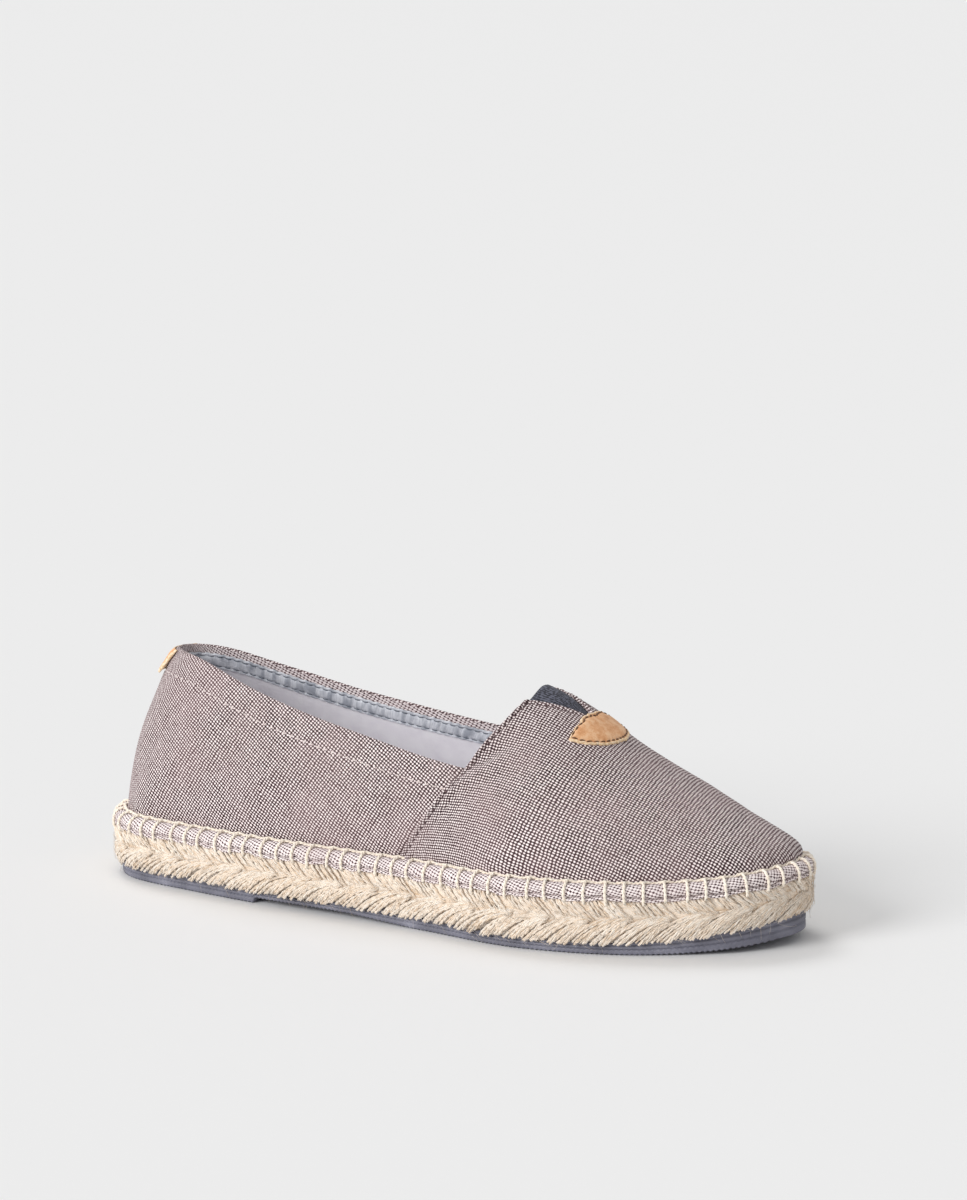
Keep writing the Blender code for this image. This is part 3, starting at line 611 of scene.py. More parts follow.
HEEL_HEIGHT, INSTEP_HEIGHT, SIDE_HEIGHT = 0.0605, 0.0570, 0.0336
VAMP_LAP, CREASE_RISE, SEAM_SHARE = 0.0008, 0.0019, 0.487
THROAT_WIDTH, THROAT_LENGTH, THROAT_CURVE = 0.0217, 0.0209, 0.8
RIDGE_SLOPE, HEEL_SLOPE = -0.43, 0.15
RIBS = [
    # foot: share of the way from heel to toe; top: share of LENGTH; heel,
    # instep: shares of those heights; lean, rake in degrees; low, high:
    # fullness as shares of BALL_WIDTH; turn of the top in degrees
    (0.000, 0.136, 1.22, 0.00, -8, 0, 0.265, 0.160, -90),
    (0.100, 0.158, 1.22, 0.00, -5, 2, 0.265, 0.160, -62),
    (0.230, 0.268, 1.05, 0.14, 0, 10, 0.270, 0.170, -22),
    (0.370, 0.450, 0.60, 0.54, 2, 22, 0.240, 0.200, 0),
    (0.487, 0.629, 0.00, 1.02, 3, 32, 0.215, 0.270, 4),
    (0.620, 0.732, 0.00, 0.745, 6, 26, 0.160, 0.290, 8),
    (0.760, 0.812, 0.00, 0.535, 9, 14, 0.110, 0.245, 20),
    (0.890, 0.880, 0.00, 0.380, 11, 5, 0.070, 0.175, 48),
    (1.000, 0.914, 0.00, 0.310, 12, 0, 0.050, 0.130, 90),
]
COLLAR = [
    # share of LENGTH, share of the drop from heel to side height
    (0.070, 0.00), (0.130, 0.05), (0.200, 0.24), (0.270, 0.43),
    (0.370, 0.65), (0.450, 0.80), (0.520, 0.93), (0.570, 1.00),
]
RIB_AT = spline([row[0] for row in RIBS], [row[1:] for row in RIBS])
COLLAR_AT = spline([row[0] for row in COLLAR], [row[1] for row in COLLAR])
CREASE_MIDDLE = JUTE_HEIGHT + CREASE_RISE
THROAT_END = float(RIB_AT(SEAM_SHARE)[0]) * LENGTH + THROAT_LENGTH
# about 7.2 mm, so that a whole number of stitches goes round the sole
STITCH_PITCH = PERIMETER / round(PERIMETER / 0.0072)
THROAT_THINNED = 0.0012
COLLAR_SEAM, COLLAR_STITCH = 9.6 * MM, 3.3 * MM
SIDE_SEAM, SIDE_STITCH = 2.2 * MM, 3.0 * MM
THROAT_SEAM, THROAT_STITCH = 2.6 * MM, 2.6 * MM
COLLAR_TURNED, THROAT_TURNED = 4.5 * MM, 3.0 * MM


def run_of(foot, side):
    """Place along the outline where a rib starts."""
    if side < 0:
        return foot * TOE_RUN
    return PERIMETER - foot * (PERIMETER - TOE_RUN)


def ridge_y(x):
    """How far the ridge has swung to the inner side at x."""
    middle = outline_at(TOE_RUN)[1]
    return middle * np.clip((x / LENGTH - SEAM_SHARE) / (1 - SEAM_SHARE), 0, 1)


def last_point(foot, side, rise):
    """Point on the last: foot 0 heel to 1 toe, rise 0 crease to 1 ridge."""
    foot, side, rise = np.broadcast_arrays(foot, side, rise)
    top, heel, instep, lean, rake, low, high, turn = np.moveaxis(RIB_AT(foot), -1, 0)
    run = np.where(side < 0, run_of(foot, -1), run_of(foot, 1))
    start = edge_point(run, CREASE_INSET, CREASE_MIDDLE + tilt(run))
    top_x = top * LENGTH
    top_z = CREASE_MIDDLE + heel * HEEL_HEIGHT + instep * INSTEP_HEIGHT
    end = np.stack([top_x, ridge_y(top_x), top_z], -1)
    lean, rake, turn = np.radians(lean), np.radians(rake), np.radians(turn)
    swing = np.sin(turn)
    out = outward(run)
    toeward = np.stack([-out[..., 1], out[..., 0]], -1) * -side[..., None]
    flat = out * np.sin(lean)[..., None] + toeward * np.sin(rake)[..., None]
    up = np.concatenate([flat, (np.cos(lean) * np.cos(rake))[..., None]], -1)
    across = np.stack([swing, side * np.cos(turn),
                       swing * np.where(swing > 0, RIDGE_SLOPE, HEEL_SLOPE)], -1)
    near_start = start + up * (low * BALL_WIDTH)[..., None]
    near_end = end + across * (high * BALL_WIDTH)[..., None]
    t = rise[..., None]
    return (start * (1 - t) ** 3 + 3 * near_start * t * (1 - t) ** 2
            + 3 * near_end * t * t * (1 - t) + end * t ** 3)


def folded_point(foot, side, rise):
    """Point on the last that carries on past heel, toe or ridge."""
    flips = (foot < 0).astype(int) + (foot > 1) + (rise > 1)
    foot = np.abs(foot)
    foot = np.where(foot > 1, 2 - foot, foot)
    rise = np.where(rise > 1, 2 - rise, np.maximum(rise, 0))
    return last_point(foot, np.where(flips % 2, -side, side), rise)


def last_normal(foot, side, rise):
    """Unit vector square to the last, pointing out."""
    step = 0.002
    foot, side, rise = np.broadcast_arrays(foot, side, rise)
    tip = (foot < step) | (foot > 1 - step)
    rise = np.where(tip, np.minimum(rise, 1 - 2 * step), rise)
    along = folded_point(foot + step, side, rise) - folded_point(foot - step, side, rise)
    upward = folded_point(foot, side, rise + step) - folded_point(foot, side, rise - step)
    return unit(np.cross(along, upward) * -side[..., None])


def on_last(foot, side, rise, out=0.0):
    """Point at a distance outside the last's surface, negative for inside."""
    return (last_point(foot, side, rise)
            + last_normal(foot, side, rise) * np.asarray(out)[..., None])


def first_rise(foot, side, past):
    """Least rise on each rib where the test past(points) turns positive."""
    foot = np.atleast_1d(foot)
    rises = np.linspace(0.05, 1.0, 600)
    value = past(last_point(foot[:, None], side, rises))
    each = np.arange(len(foot))
    hit = np.argmax(value > 0, axis=1)
    before = np.maximum(hit - 1, 0)
    rest = value[each, before] / np.where(hit, value[each, before] - value[each, hit], 1)
    return np.where(hit, rises[before] + rest * (rises[hit] - rises[before]), 1.0)


def past_collar(points):
    """Height of the points above the collar's edge."""
    share = np.clip(points[..., 0] / LENGTH, COLLAR[0][0], COLLAR[-1][0])
    drop = COLLAR_AT(share)[..., 0] * (HEEL_HEIGHT - SIDE_HEIGHT)
    return points[..., 2] - (CREASE_MIDDLE + HEEL_HEIGHT - drop)


def past_throat(points):
    """How far the points lie inside the V of the throat."""
    left = (THROAT_END - points[..., 0]) / THROAT_LENGTH
    half = THROAT_WIDTH / 2 * np.maximum(left, 0) ** THROAT_CURVE
    return half - np.abs(points[..., 1] - ridge_y(points[..., 0])) - 1e-7


def collar_rise(foot, side):
    """Rise of the collar's edge; side is -1 or 1 for each foot."""
    return np.where(np.asarray(side) < 0, np.interp(foot, EDGE_FEET, COLLAR_RISES[-1]),
                    np.interp(foot, EDGE_FEET, COLLAR_RISES[1]))


def throat_rise(foot, side):
    """Rise of the throat's edge."""
    return first_rise(foot, side, past_throat)


def foot_of_top(x):
    """Rib whose top lies at x on the ridge."""
    feet = np.linspace(0, 1, 600)
    return float(np.interp(x / LENGTH, RIB_AT(feet)[:, 0], feet))


APEX_FOOT = foot_of_top(THROAT_END)
EDGE_FEET = np.linspace(0, SEAM_SHARE + 0.02, 260)
COLLAR_RISES = {side: first_rise(EDGE_FEET, side, past_collar) for side in (-1, 1)}


def rise_below(foot, side, rise, distance):
    """Rise a given distance down each rib from another rise."""
    foot, side, rise = (np.ravel(a) for a in np.broadcast_arrays(foot, side, rise))
    distance = np.broadcast_to(distance, (len(foot),) + np.shape(distance)[-1:])
    rises = rise[:, None] * np.linspace(1, 0, 300)
    down = running_length(last_point(foot[:, None], side[:, None], rises))
    return np.array([np.interp(d, way, r) for d, way, r in zip(distance, down, rises)])


# the canvas's thread spacing in mm, and how far its rows turn from the crease
THREAD_ALONG, THREAD_UP = 1.25, 1.03
CLOTH_TURN, VAMP_TURN = math.radians(30), math.radians(7)


def canvas_material(name, rubbed=0.0):
    """Washed cotton canvas: coarse pale threads over a dark mauve warp, with painted shade, near
    black, in the hollows between them.

    A rubbed one shows more of the pale threads.
    """
    material, shader = new_material(name, Roughness=0.92, IOR=1.5, Sheen_Weight=0.08,
                                    Sheen_Roughness=0.45, Sheen_Tint=linear("#E8DCDD"))
    uv = add(material, "UVMap", uv_map="cloth")
    # one dot of pale thread for each crossing, 1.25 by 1.03 mm in the uv
    slub = add(material, "TexNoise", {"Vector": uv, "Scale": 0.45, "Detail": 3.0})
    jog = add(material, "VectorMath", {0: slub.outputs["Color"], 1: (0.9, 0.9, 0.0), 2: uv},
              operation="MULTIPLY_ADD")
    turns = add(material, "VectorMath", {0: jog, 1: (math.pi, math.pi, 0.0)},
                operation="MULTIPLY")
    waves = add(material, "VectorMath", {0: turns}, operation="SINE")
    waves = add(material, "VectorMath", {0: waves}, operation="ABSOLUTE")
    dots = add(material, "VectorMath", {0: waves, 1: (0.33, 0.39, 0.0)},
               operation="DOT_PRODUCT").outputs["Value"]
    # some threads are paler than others, both ways
    warp, weft = (streaks(material, jog, way, 1.1) for way in ((1.0, 0.10), (0.10, 1.0)))
    streak = add(material, "Math", {0: warp, 1: weft}, operation="ADD")
    place = add(material, "TexCoord").outputs["Object"]
    fuzz = add(material, "TexNoise", {"Vector": place, "Scale": 700.0, "Detail": 6.0,
                                      "Roughness": 0.7})
    lift = add(material, "Math", {0: streak, 1: 0.12, 2: dots}, operation="MULTIPLY_ADD")
    level = add(material, "Math", {0: fuzz, 1: 0.12, 2: lift}, operation="MULTIPLY_ADD")
    # the ramp's dark end, darker than the warp, is painted shade in the hollows between the dots
    colour = add(material, "ValToRGB", {0: level}, [
        (0.48 - rubbed, "#170406"), (0.61 - rubbed, "#46292D"),
        (0.70 - rubbed, "#A4878A"), (0.775 - rubbed, "#FFF6F4")])
    # faded in clouds by the washing
    wash = add(material, "TexNoise", {"Vector": place, "Scale": 45.0, "Detail": 4.0})
    faded = add(material, "MapRange", {0: wash, 1: 0.35, 2: 0.70, 3: 0.0, 4: 0.24})
    mixed = add(material, "Mix", {0: faded, 6: colour, 7: linear("#B89A9B")},
                data_type="RGBA")
    return finish_material(material, shader, mixed.outputs[2], level, 0.34 * MM)


canvas = canvas_material("washed_canvas")
hem_canvas = canvas_material("rubbed_canvas", 0.135)


def cloth_uv(points, side):
    """Thread counts on a quarter's grid, whose first row lies at the crease."""
    steps = np.diff(points, axis=0)
    forward = (steps * unit(np.gradient(points[0], axis=0))).sum(-1)
    rest = np.sqrt(np.maximum((steps ** 2).sum(-1) - forward ** 2, 0))
    start = np.zeros((1, points.shape[1]))
    s = running_length(points[0]) + np.concatenate([start, np.cumsum(forward, axis=0)])
    t = np.concatenate([start, np.cumsum(rest, axis=0)])
    c, n = math.cos(CLOTH_TURN), math.sin(CLOTH_TURN)
    return np.stack([(s * c - t * n) / (THREAD_ALONG * MM) + 400 * (side > 0),
                     (s * n + t * c) / (THREAD_UP * MM)], -1)


def unrolled(feet, side):
    """The vamp's cloth laid flat, rolled down each rib from the ridge.

    Gives a function of rises to lengths along and across the ridge.
    """
    rises = np.linspace(0, 1, 90)[:, None]
    points = last_point(feet, side, rises)
    normals = last_normal(feet + 0 * rises, side, rises + 0 * feet)
    steps = points[:-1] - points[1:]
    size = np.linalg.norm(steps, axis=-1)
    way = steps / size[..., None]
    ahead = unit(np.gradient(points[-1], axis=0))
    swing = np.arctan2((np.cross(ahead, way[-1]) * normals[-1]).sum(-1),
                       (ahead * way[-1]).sum(-1))
    turns = np.arctan2((np.cross(way[1:], way[:-1]) * normals[1:-1]).sum(-1),
                       (way[1:] * way[:-1]).sum(-1))
    angle = np.concatenate([turns, swing[None]])[::-1].cumsum(0)[::-1]
    flat = np.stack([size * np.cos(angle), size * np.sin(angle)], -1)
    flat = np.concatenate([flat, np.zeros((1, len(feet), 2))])[::-1].cumsum(0)[::-1]
    flat[..., 0] += running_length(points[-1])

    def at(rise):
        return np.stack([points_at(rise[:, j], rises[:, 0], flat[:, j])
                         for j in range(len(feet))], 1)

    return at


def spaced(first, last, step, fine=()):
    """Even steps between two lengths, with some more places added."""
    even = np.linspace(first, last, max(2, round((last - first) / step) + 1))
    return np.unique(np.concatenate([even, np.asarray(fine, float)]))


def stitch_phase(run):
    """1 at each blanket stitch, 0 halfway between two."""
    return np.cos(math.pi * run / STITCH_PITCH) ** 2


def puckers(run, seed):
    """Uneven waves of sewn cloth, from -1 to 1."""
    return 0.6 * ripple(run, 6 * MM, seed) + 0.4 * ripple(run, 2.6 * MM, seed + 1)


def bump_at(value, centre, width):
    """A soft ridge, 1 at its centre."""
    return np.exp(-((value - centre) / width) ** 2)


# Soft folds in the canvas: foot, rise as a share of the rib's
# length, half length and half width in mm, slant in degrees, depth in mm
FOLDS = [
    (0.06, 0.50, 20, 5.0, 84, 0.7), (0.11, 0.45, 24, 4.5, 74, -1.1),
    (0.16, 0.40, 26, 5.0, 66, 0.9), (0.22, 0.50, 22, 4.5, 60, -1.0),
    (0.28, 0.45, 20, 5.5, 54, 0.8), (0.34, 0.55, 17, 4.5, 50, -0.8),
    (0.40, 0.45, 16, 5.0, 56, 0.8), (0.45, 0.50, 15, 4.0, 62, -0.9),
    (0.54, 0.35, 22, 5.0, 62, 0.5), (0.60, 0.25, 24, 6.0, 52, -0.6),
    (0.68, 0.35, 22, 6.0, 40, 0.5), (0.77, 0.30, 18, 5.0, 34, -0.4),
]


def soft_folds(foot, rise, along, up):
    """Depth of the folds in metres; along and up are lengths on the cloth."""
    depth = 0 * along
    for at, share, long, wide, slant, deep in FOLDS:
        column = np.abs(foot[0] - at).argmin()
        row = np.abs(rise[:, column] - share * rise[-1, column]).argmin()
        a = (along - along[row, column]) / MM
        b = (up - up[row, column]) / MM
        c, n = math.cos(math.radians(slant)), math.sin(math.radians(slant))
        depth += deep * MM * bump_at(a * c + b * n, 0, long) * bump_at(b * c - a * n, 0, wide)
    return depth


# seams sewn on the upper: points, normals and length of a stitch of each
sewn = []


def across_rows(grid, down, depth):
    """Points of a grid at a depth below its top edge, one a column."""
    return np.array([points_at(depth, down[::-1, j], grid[::-1, j])
                     for j in range(grid.shape[1])])


def across_columns(grid, along, place):
    """Points of a grid at a place along its rows, one a row."""
    return np.array([points_at(place, along[i], grid[i]) for i in range(4, len(grid) - 3)])


def quarter_rises(top):
    """Rises of a quarter's rows, which lie closest at the crease and the top."""
    shares = np.concatenate([[0, 0.006, 0.014, 0.025], np.linspace(0.04, 0.965, 52),
                             [0.978, 0.988, 0.995, 1.0]])
    return shares[:, None] * top


def vamp_rises(feet, top, junction):
    """Rises of the vamp's rows, which pass the collar's corner at the seam."""
    low = junction / top[0]
    level = low + (0.5 - low) * smooth((feet - SEAM_SHARE) / (1 - SEAM_SHARE))
    upper = level + (1 - level) * np.concatenate(
        [np.linspace(0, 0.9, 30)[1:], [0.93, 0.96, 0.98, 0.99, 1.0]])[:, None]
    return np.concatenate([quarter_rises(level), upper]) * top


def sewn_dips(length, stitch):
    """Depth of a row of stitches along its length, deepest at each stitch."""
    return 0.75 + 0.5 * np.cos(2 * math.pi * length / stitch)


def quarter_relief(out, run, along, down):
    """Adds the collar's seam and puckers, the back seam and the tucked front."""
    row = bump_at(down, COLLAR_SEAM, 1.3 * MM) + 0.45 * bump_at(down, 3.2 * MM, 0.9 * MM)
    out = out - 0.42 * MM * row * sewn_dips(along, COLLAR_STITCH)
    out = out + 0.42 * MM * puckers(run, 31) * bump_at(down, 8.5 * MM, 6 * MM)
    out = out - 0.5 * MM * smooth(1 - down / (0.8 * MM))
    out = out - 0.45 * MM * bump_at(along, 0, 0.5 * MM)
    out = out + 0.20 * MM * bump_at(along, 1.6 * MM, 1.0 * MM)
    return out - 0.65 * MM * smooth(1 - (along[:, -1:] - along) / (1.6 * MM))


def vamp_relief(out, feet, run, along, up, down, edge):
    """Adds the lapped side seam, the throat's turned edge and the toe's puckers."""
    ahead = np.maximum(along, 0)
    out = out - (VAMP_LAP + 0.25 * MM) * (1 - np.sqrt(np.clip(ahead / (0.5 * MM), 0, 1)))
    out = out + 0.35 * MM * bump_at(ahead, 0.9 * MM, 0.8 * MM)
    out = out - 0.60 * MM * bump_at(ahead, SIDE_SEAM, 0.45 * MM) * sewn_dips(up, SIDE_STITCH)
    out = out + 0.25 * MM * bump_at(ahead, 4.2 * MM, 1.3 * MM)
    out = out - 0.30 * MM * bump_at(ahead, 5.9 * MM, 0.5 * MM)
    wavy = ripple(up + 0.08, 5 * MM, 41) + 0.6 * ripple(up + 0.05, 2.2 * MM, 42)
    out = out + 0.22 * MM * wavy * bump_at(ahead, 3.0 * MM, 3.6 * MM)
    # the turned edge of the throat, with its own row of stitches
    open_edge = (edge < 1.0) * smooth((APEX_FOOT - feet) / 0.01)
    out = out - 0.4 * MM * smooth(1 - down / (0.6 * MM)) * open_edge
    out = out + 0.25 * MM * bump_at(down, 1.2 * MM, 0.9 * MM) * open_edge
    out = out - 0.35 * MM * bump_at(down, THROAT_SEAM, 0.5 * MM) * open_edge * (
        sewn_dips(along, THROAT_STITCH))
    near_toe = smooth((feet - 0.9) / 0.1)
    out = out + 0.25 * MM * near_toe * puckers(run, 51) * bump_at(up, 5 * MM, 6 * MM)
    # both sides meet on the ridge at one height
    calm = np.where(edge < 1, 1.0, smooth(down / (5 * MM)))
    return VAMP_LAP + (out - VAMP_LAP) * calm


def hem_grids(feet, side, outer, inner):
    """The hem turned out over the edge of the jute, and back under the wall."""
    runs = run_of(feet, side)
    pillow = 1 - stitch_phase(runs)
    wave = (0.45 * ripple(runs, 9 * MM, 71) + 0.50 * ripple(runs, 3.5 * MM, 72)) * MM
    low = JUTE_HEIGHT - HEM_DEPTH + tilt(runs)
    low = low + wave - 0.25 * MM * pillow
    crown = JUTE_HEIGHT + HEM_WALL + tilt(runs)
    puff = 0.35 * MM * pillow
    profile = [
        # inset and height: the fold at the bottom, the puffed side, the top
        (0.9 * MM, low + 0.5 * MM), (0.2 * MM, low + 0.05 * MM),
        (-0.35 * MM, low - 0.05 * MM), (-0.70 * MM, low + 0.30 * MM),
        (-0.72 * MM, low + 0.80 * MM), (-0.45 * MM, low + 1.05 * MM),
        (0.55 * MM, low + 1.15 * MM), (0.55 * MM, low + 1.60 * MM),
        (-0.35 * MM - puff, low + 1.85 * MM), (-0.50 * MM - puff, low + 2.7 * MM),
        (-0.35 * MM - puff, crown - 1.6 * MM), (0.0 - puff, crown - 0.9 * MM),
        (0.7 * MM - puff, crown - 0.25 * MM + 0.5 * puff),
        (1.6 * MM, crown + 0.15 * MM + puff), (2.5 * MM, crown + 0.2 * MM + 0.6 * puff),
        (3.2 * MM, crown + 0.1 * MM),
    ]
    hem = np.array([edge_point(runs, inset, height) for inset, height in profile])
    hem = np.concatenate([hem, outer[:1]])
    lengths = np.concatenate([[0], np.cumsum(np.linalg.norm(
        np.diff(hem, axis=0), axis=2).mean(1))])
    a, b = runs / (THREAD_ALONG * MM), lengths[:, None] / (THREAD_UP * MM)
    hem_uv = np.stack([0.94 * a - 0.34 * b, 0.34 * a + 0.94 * b], -1)
    under = np.array([edge_point(runs, inset, height) for inset, height in (
        (0.9 * MM, low + 0.5 * MM), (HEM_WALL, JUTE_HEIGHT - 2.0 * MM + tilt(runs)),
        (2.6 * MM, JUTE_HEIGHT - 0.3 * MM + tilt(runs)),
        (CREASE_INSET + WALL, JUTE_HEIGHT + 0.1 * MM + tilt(runs)))])
    under = np.concatenate([under, inner[2:3]])
    return [(hem, hem_uv, 2), (under, 0.8 * uv_grid(a, np.arange(5)[:, None]), 0)]


def side_grids(side):
    """Grids of one side of the upper, and what its edges need, by panel."""
    seam = SEAM_SHARE * TOE_RUN
    quarter = spaced(0, seam, 1.28 * MM, [seam - 0.3 * MM, 0.5 * MM]) / TOE_RUN
    vamp_fine = seam + np.array([0.05, 0.15, 0.3, 0.5, 0.8, 1.2, 1.6, 2.0, 2.5, 3.0, 3.6,
                                 4.4, 5.2, 5.6, 6.0, 6.6, 7.4]) * MM
    vamp = spaced(seam, TOE_RUN, 1.32 * MM, vamp_fine) / TOE_RUN
    collar = collar_rise(quarter, side)
    edge = np.where(vamp < APEX_FOOT, throat_rise(vamp, side), 1.0)
    grids, lips = [], {}
    for name, feet, top in (("quarter", quarter, collar), ("vamp", vamp, edge)):
        is_vamp = name == "vamp"
        rise = vamp_rises(feet, top, collar[-1]) if is_vamp else quarter_rises(top)
        foot = np.broadcast_to(feet, rise.shape)
        run = run_of(foot, side)
        plain = last_point(foot, side, rise)
        normals = last_normal(foot, side, rise)
        along, up = running_length(plain), running_length(plain.swapaxes(0, 1)).T
        down = up[-1] - up
        base = VAMP_LAP if is_vamp else 0.0
        still = smooth(down / (26 * MM)) if is_vamp else 1.0
        out = base + soft_folds(foot, rise, along, up) * still
        # each stitch draws the canvas in a little above the crease
        out = out - 0.55 * MM * stitch_phase(run) * np.exp(-up / (3.5 * MM))
        out = out - 0.25 * MM * np.exp(-up / (1.5 * MM))
        depth = 0.12 * MM * puckers(run, 61) * smooth(up / (8 * MM)) * smooth(down / (8 * MM))
        if is_vamp:
            out = vamp_relief(out, feet, run, along, up, down, edge)
            # one turned layer alone at the throat, where the gore is sewn on
            near = (edge < 1) * smooth((APEX_FOOT - feet) / 0.01)
            depth = depth + THROAT_THINNED * near * smooth((7 * MM - down) / (4 * MM))
            flat = unrolled(vamp, side)(rise)
            c, n = math.cos(VAMP_TURN), math.sin(VAMP_TURN)
            uv = np.stack([(flat[..., 0] * c + flat[..., 1] * n) / (THREAD_ALONG * MM),
                           (flat[..., 1] * c - flat[..., 0] * n) / (THREAD_UP * MM)], -1)
        else:
            out = quarter_relief(out, run, along, down)
            uv = cloth_uv(plain, side)
        outer = on_last(foot, side, rise, out)
        inner = on_last(foot, side, rise, depth - WALL)
        grids.append((outer, uv, 0))
        # inside: lining up to the binding, canvas turned over above it
        turned = down[:, 0] < (THROAT_TURNED if is_vamp else COLLAR_TURNED)
        first = int(np.argmax(turned)) if turned.any() else len(inner) - 1
        grids.append((inner[2:first + 1], uv[2:first + 1], 1))
        grids.append((inner[first:], 0.85 * uv[first:], 2))
        grids += hem_grids(feet, side, outer, inner)
        lips[name] = (outer, inner, uv)
        if is_vamp:
            throat = slice(3, int(np.sum(feet < APEX_FOOT - 0.012)))
            sewn.append((across_rows(outer, down, THROAT_SEAM)[throat],
                         across_rows(normals, down, THROAT_SEAM)[throat], THROAT_STITCH))
            sewn.append((across_columns(outer, along, SIDE_SEAM),
                         across_columns(normals, along, SIDE_SEAM), SIDE_STITCH))
        else:
            sewn.append((across_rows(outer, down, COLLAR_SEAM),
                         across_rows(normals, down, COLLAR_SEAM), COLLAR_STITCH))
    lips["throat columns"] = int(np.sum(vamp <= APEX_FOOT)) + 1
    return grids, lips


def edge_strip(first, last, bulge, uv):
    """Rounded strip between two rows of points, bulging along a vector."""
    rows = [first * (1 - t) + last * t + np.asarray(bulge) * math.sin(math.pi * t) ** 0.7
            for t in (0.0, 0.15, 0.35, 0.6, 0.85, 1.0)]
    turns = np.linspace(0, 1.6, len(rows))[:, None, None] * (0.3, 1.0)
    return np.array(rows), uv + turns


def make_upper():
    """Both sides of the upper, with the rounded edges of collar and throat."""
    grids = []
    for side in (-1, 1):
        parts, lips = side_grids(side)
        outer, inner, uv = lips["quarter"]
        vamp_outer, vamp_inner, vamp_uv = lips["vamp"]
        # step of the lap: quarter's last column to the vamp's first
        step = np.stack([outer[:, -1], vamp_outer[:len(outer), 0]])
        ear = (slice(len(outer) - 1, None), 0)
        throat = (-1, slice(0, lips["throat columns"]))
        grids += parts + [
            (*edge_strip(outer[-1], inner[-1], (0, 0, 0.45 * MM), uv[-1]), 0),
            (step, np.stack([uv[:, -1], uv[:, -1] + 0.5]), 0),
            (*edge_strip(vamp_outer[ear], vamp_inner[ear], (-0.5 * MM, 0, 0), vamp_uv[ear]), 0),
            (*edge_strip(vamp_outer[throat], vamp_inner[throat],
                         (0, -side * 0.3 * MM, 0.1 * MM), vamp_uv[throat]), 0),
        ]
    build("canvas_upper", grids, [canvas, lining_cloth, hem_canvas], "canvas", "upper")


make_upper()


def fibrous_material(name, grain, stops, depth, detail=2.0, **finish):
    """Thread or a cut edge, its plies or fibres drawn as a fine grain."""
    material, shader = new_material(name, **finish)
    place = add(material, "TexCoord").outputs["Object"]
    fibre = add(material, "TexNoise", {"Vector": place, "Scale": grain, "Detail": detail})
    colour = add(material, "ValToRGB", {0: fibre}, stops)
    return finish_material(material, shader, colour, fibre, depth)


def cotton_thread(name, dark, pale):
    """Soft cotton thread, matt and a little fuzzy."""
    return fibrous_material(name, 2500.0, [(0.35, dark), (0.65, pale)], 0.05 * MM,
                            Roughness=0.8, IOR=1.5, Sheen_Weight=0.2, Sheen_Roughness=0.5)


STITCH_LIFT = np.array([-1.4, 0.3, 0.9, 0.9, 0.3, -1.4])
STITCH_RADIUS, PALE_THREAD_RADIUS, DARK_THREAD_RADIUS = 0.27 * MM, 0.31, 0.26


def sewn_line(points, outs, pitch, rng):
    """Stitches along a dense line of points, each dipping in at its ends."""
    run = running_length(points)
    count = int(run[-1] / pitch)
    starts = np.arange(count) + rng.uniform(-0.06, 0.06, count)
    places = (starts[:, None] + np.linspace(0.18, 0.74, 6)) * pitch
    places = np.clip(places, 0, run[-1])
    out = points_at(places, run, outs)
    return points_at(places, run, points) + out * (STITCH_LIFT * STITCH_RADIUS)[:, None], out


def make_upper_stitches():
    """Pale thread round the collar, dark on the side seams and the throat."""
    rng = np.random.default_rng(14)
    lines = [sewn_line(points, outs, pitch, rng) for points, outs, pitch in sewn]
    stitches = np.concatenate([line for line, _ in lines])
    outs = np.concatenate([out for _, out in lines])
    pale = np.concatenate([np.full(len(line), i % 3 == 0) for i, (line, _) in enumerate(lines)])
    radius = np.where(pale, PALE_THREAD_RADIUS, DARK_THREAD_RADIUS)[:, None] * MM
    body, uv = tubes(stitches, radius, 5, np.arange(len(stitches)), outs)
    threads = [cotton_thread("pale_mauve_thread", "#C9B7B5", "#F8EEEB"),
               cotton_thread("dark_mauve_thread", "#3A2528", "#6A5054")]
    build("canvas_stitches", [(body[pale], uv[pale], 0), (body[~pale], uv[~pale], 1)],
          threads, "thread")


make_upper_stitches()

# Blanket stitch: one waxed ecru cord of two plies, sewn by hand. Its rail lies
# in the crease, and at each stitch a loop comes out over the hem and goes in
# under its edge, into the jute.

CORD_RADIUS, CORD_TWIST, CORD_STEP = 0.00038, 3.4 * MM, 0.42 * MM
LOOP_PROFILE = [
    # inset and lift over the hem's top in mm, share of slant and bow, and of
    # how much deeper this loop goes than the others
    (3.3, 0.75, 0.0, 0.0, 0), (2.4, 0.95, 0.1, 0.2, 0), (1.3, 0.75, 0.2, 0.45, 0),
    (0.2, -0.10, 0.3, 0.75, 0), (-0.75, -1.4, 0.45, 0.95, 0), (-1.15, -3.0, 0.6, 1.0, 0),
    (-1.20, -4.2, 0.8, 0.8, 0), (-1.10, -5.0, 1.0, 0.45, 1), (-0.75, -5.9, 1.2, 0.1, 1),
    (0.9, -6.3, 1.4, -0.2, 1),
]
RAIL_NODES = [
    # share of the gap to the next loop, lift and inset in mm, each with the
    # range that it wanders in
    (0.0, 0.95, (-0.1, 0.2), 3.15, (-0.2, 0.1)),
    (0.33, 0.62, (-0.1, 0.1), 3.45, (-0.1, 0.15)),
    (0.7, 0.55, (-0.1, 0.1), 3.5, (-0.1, 0.15)),
]


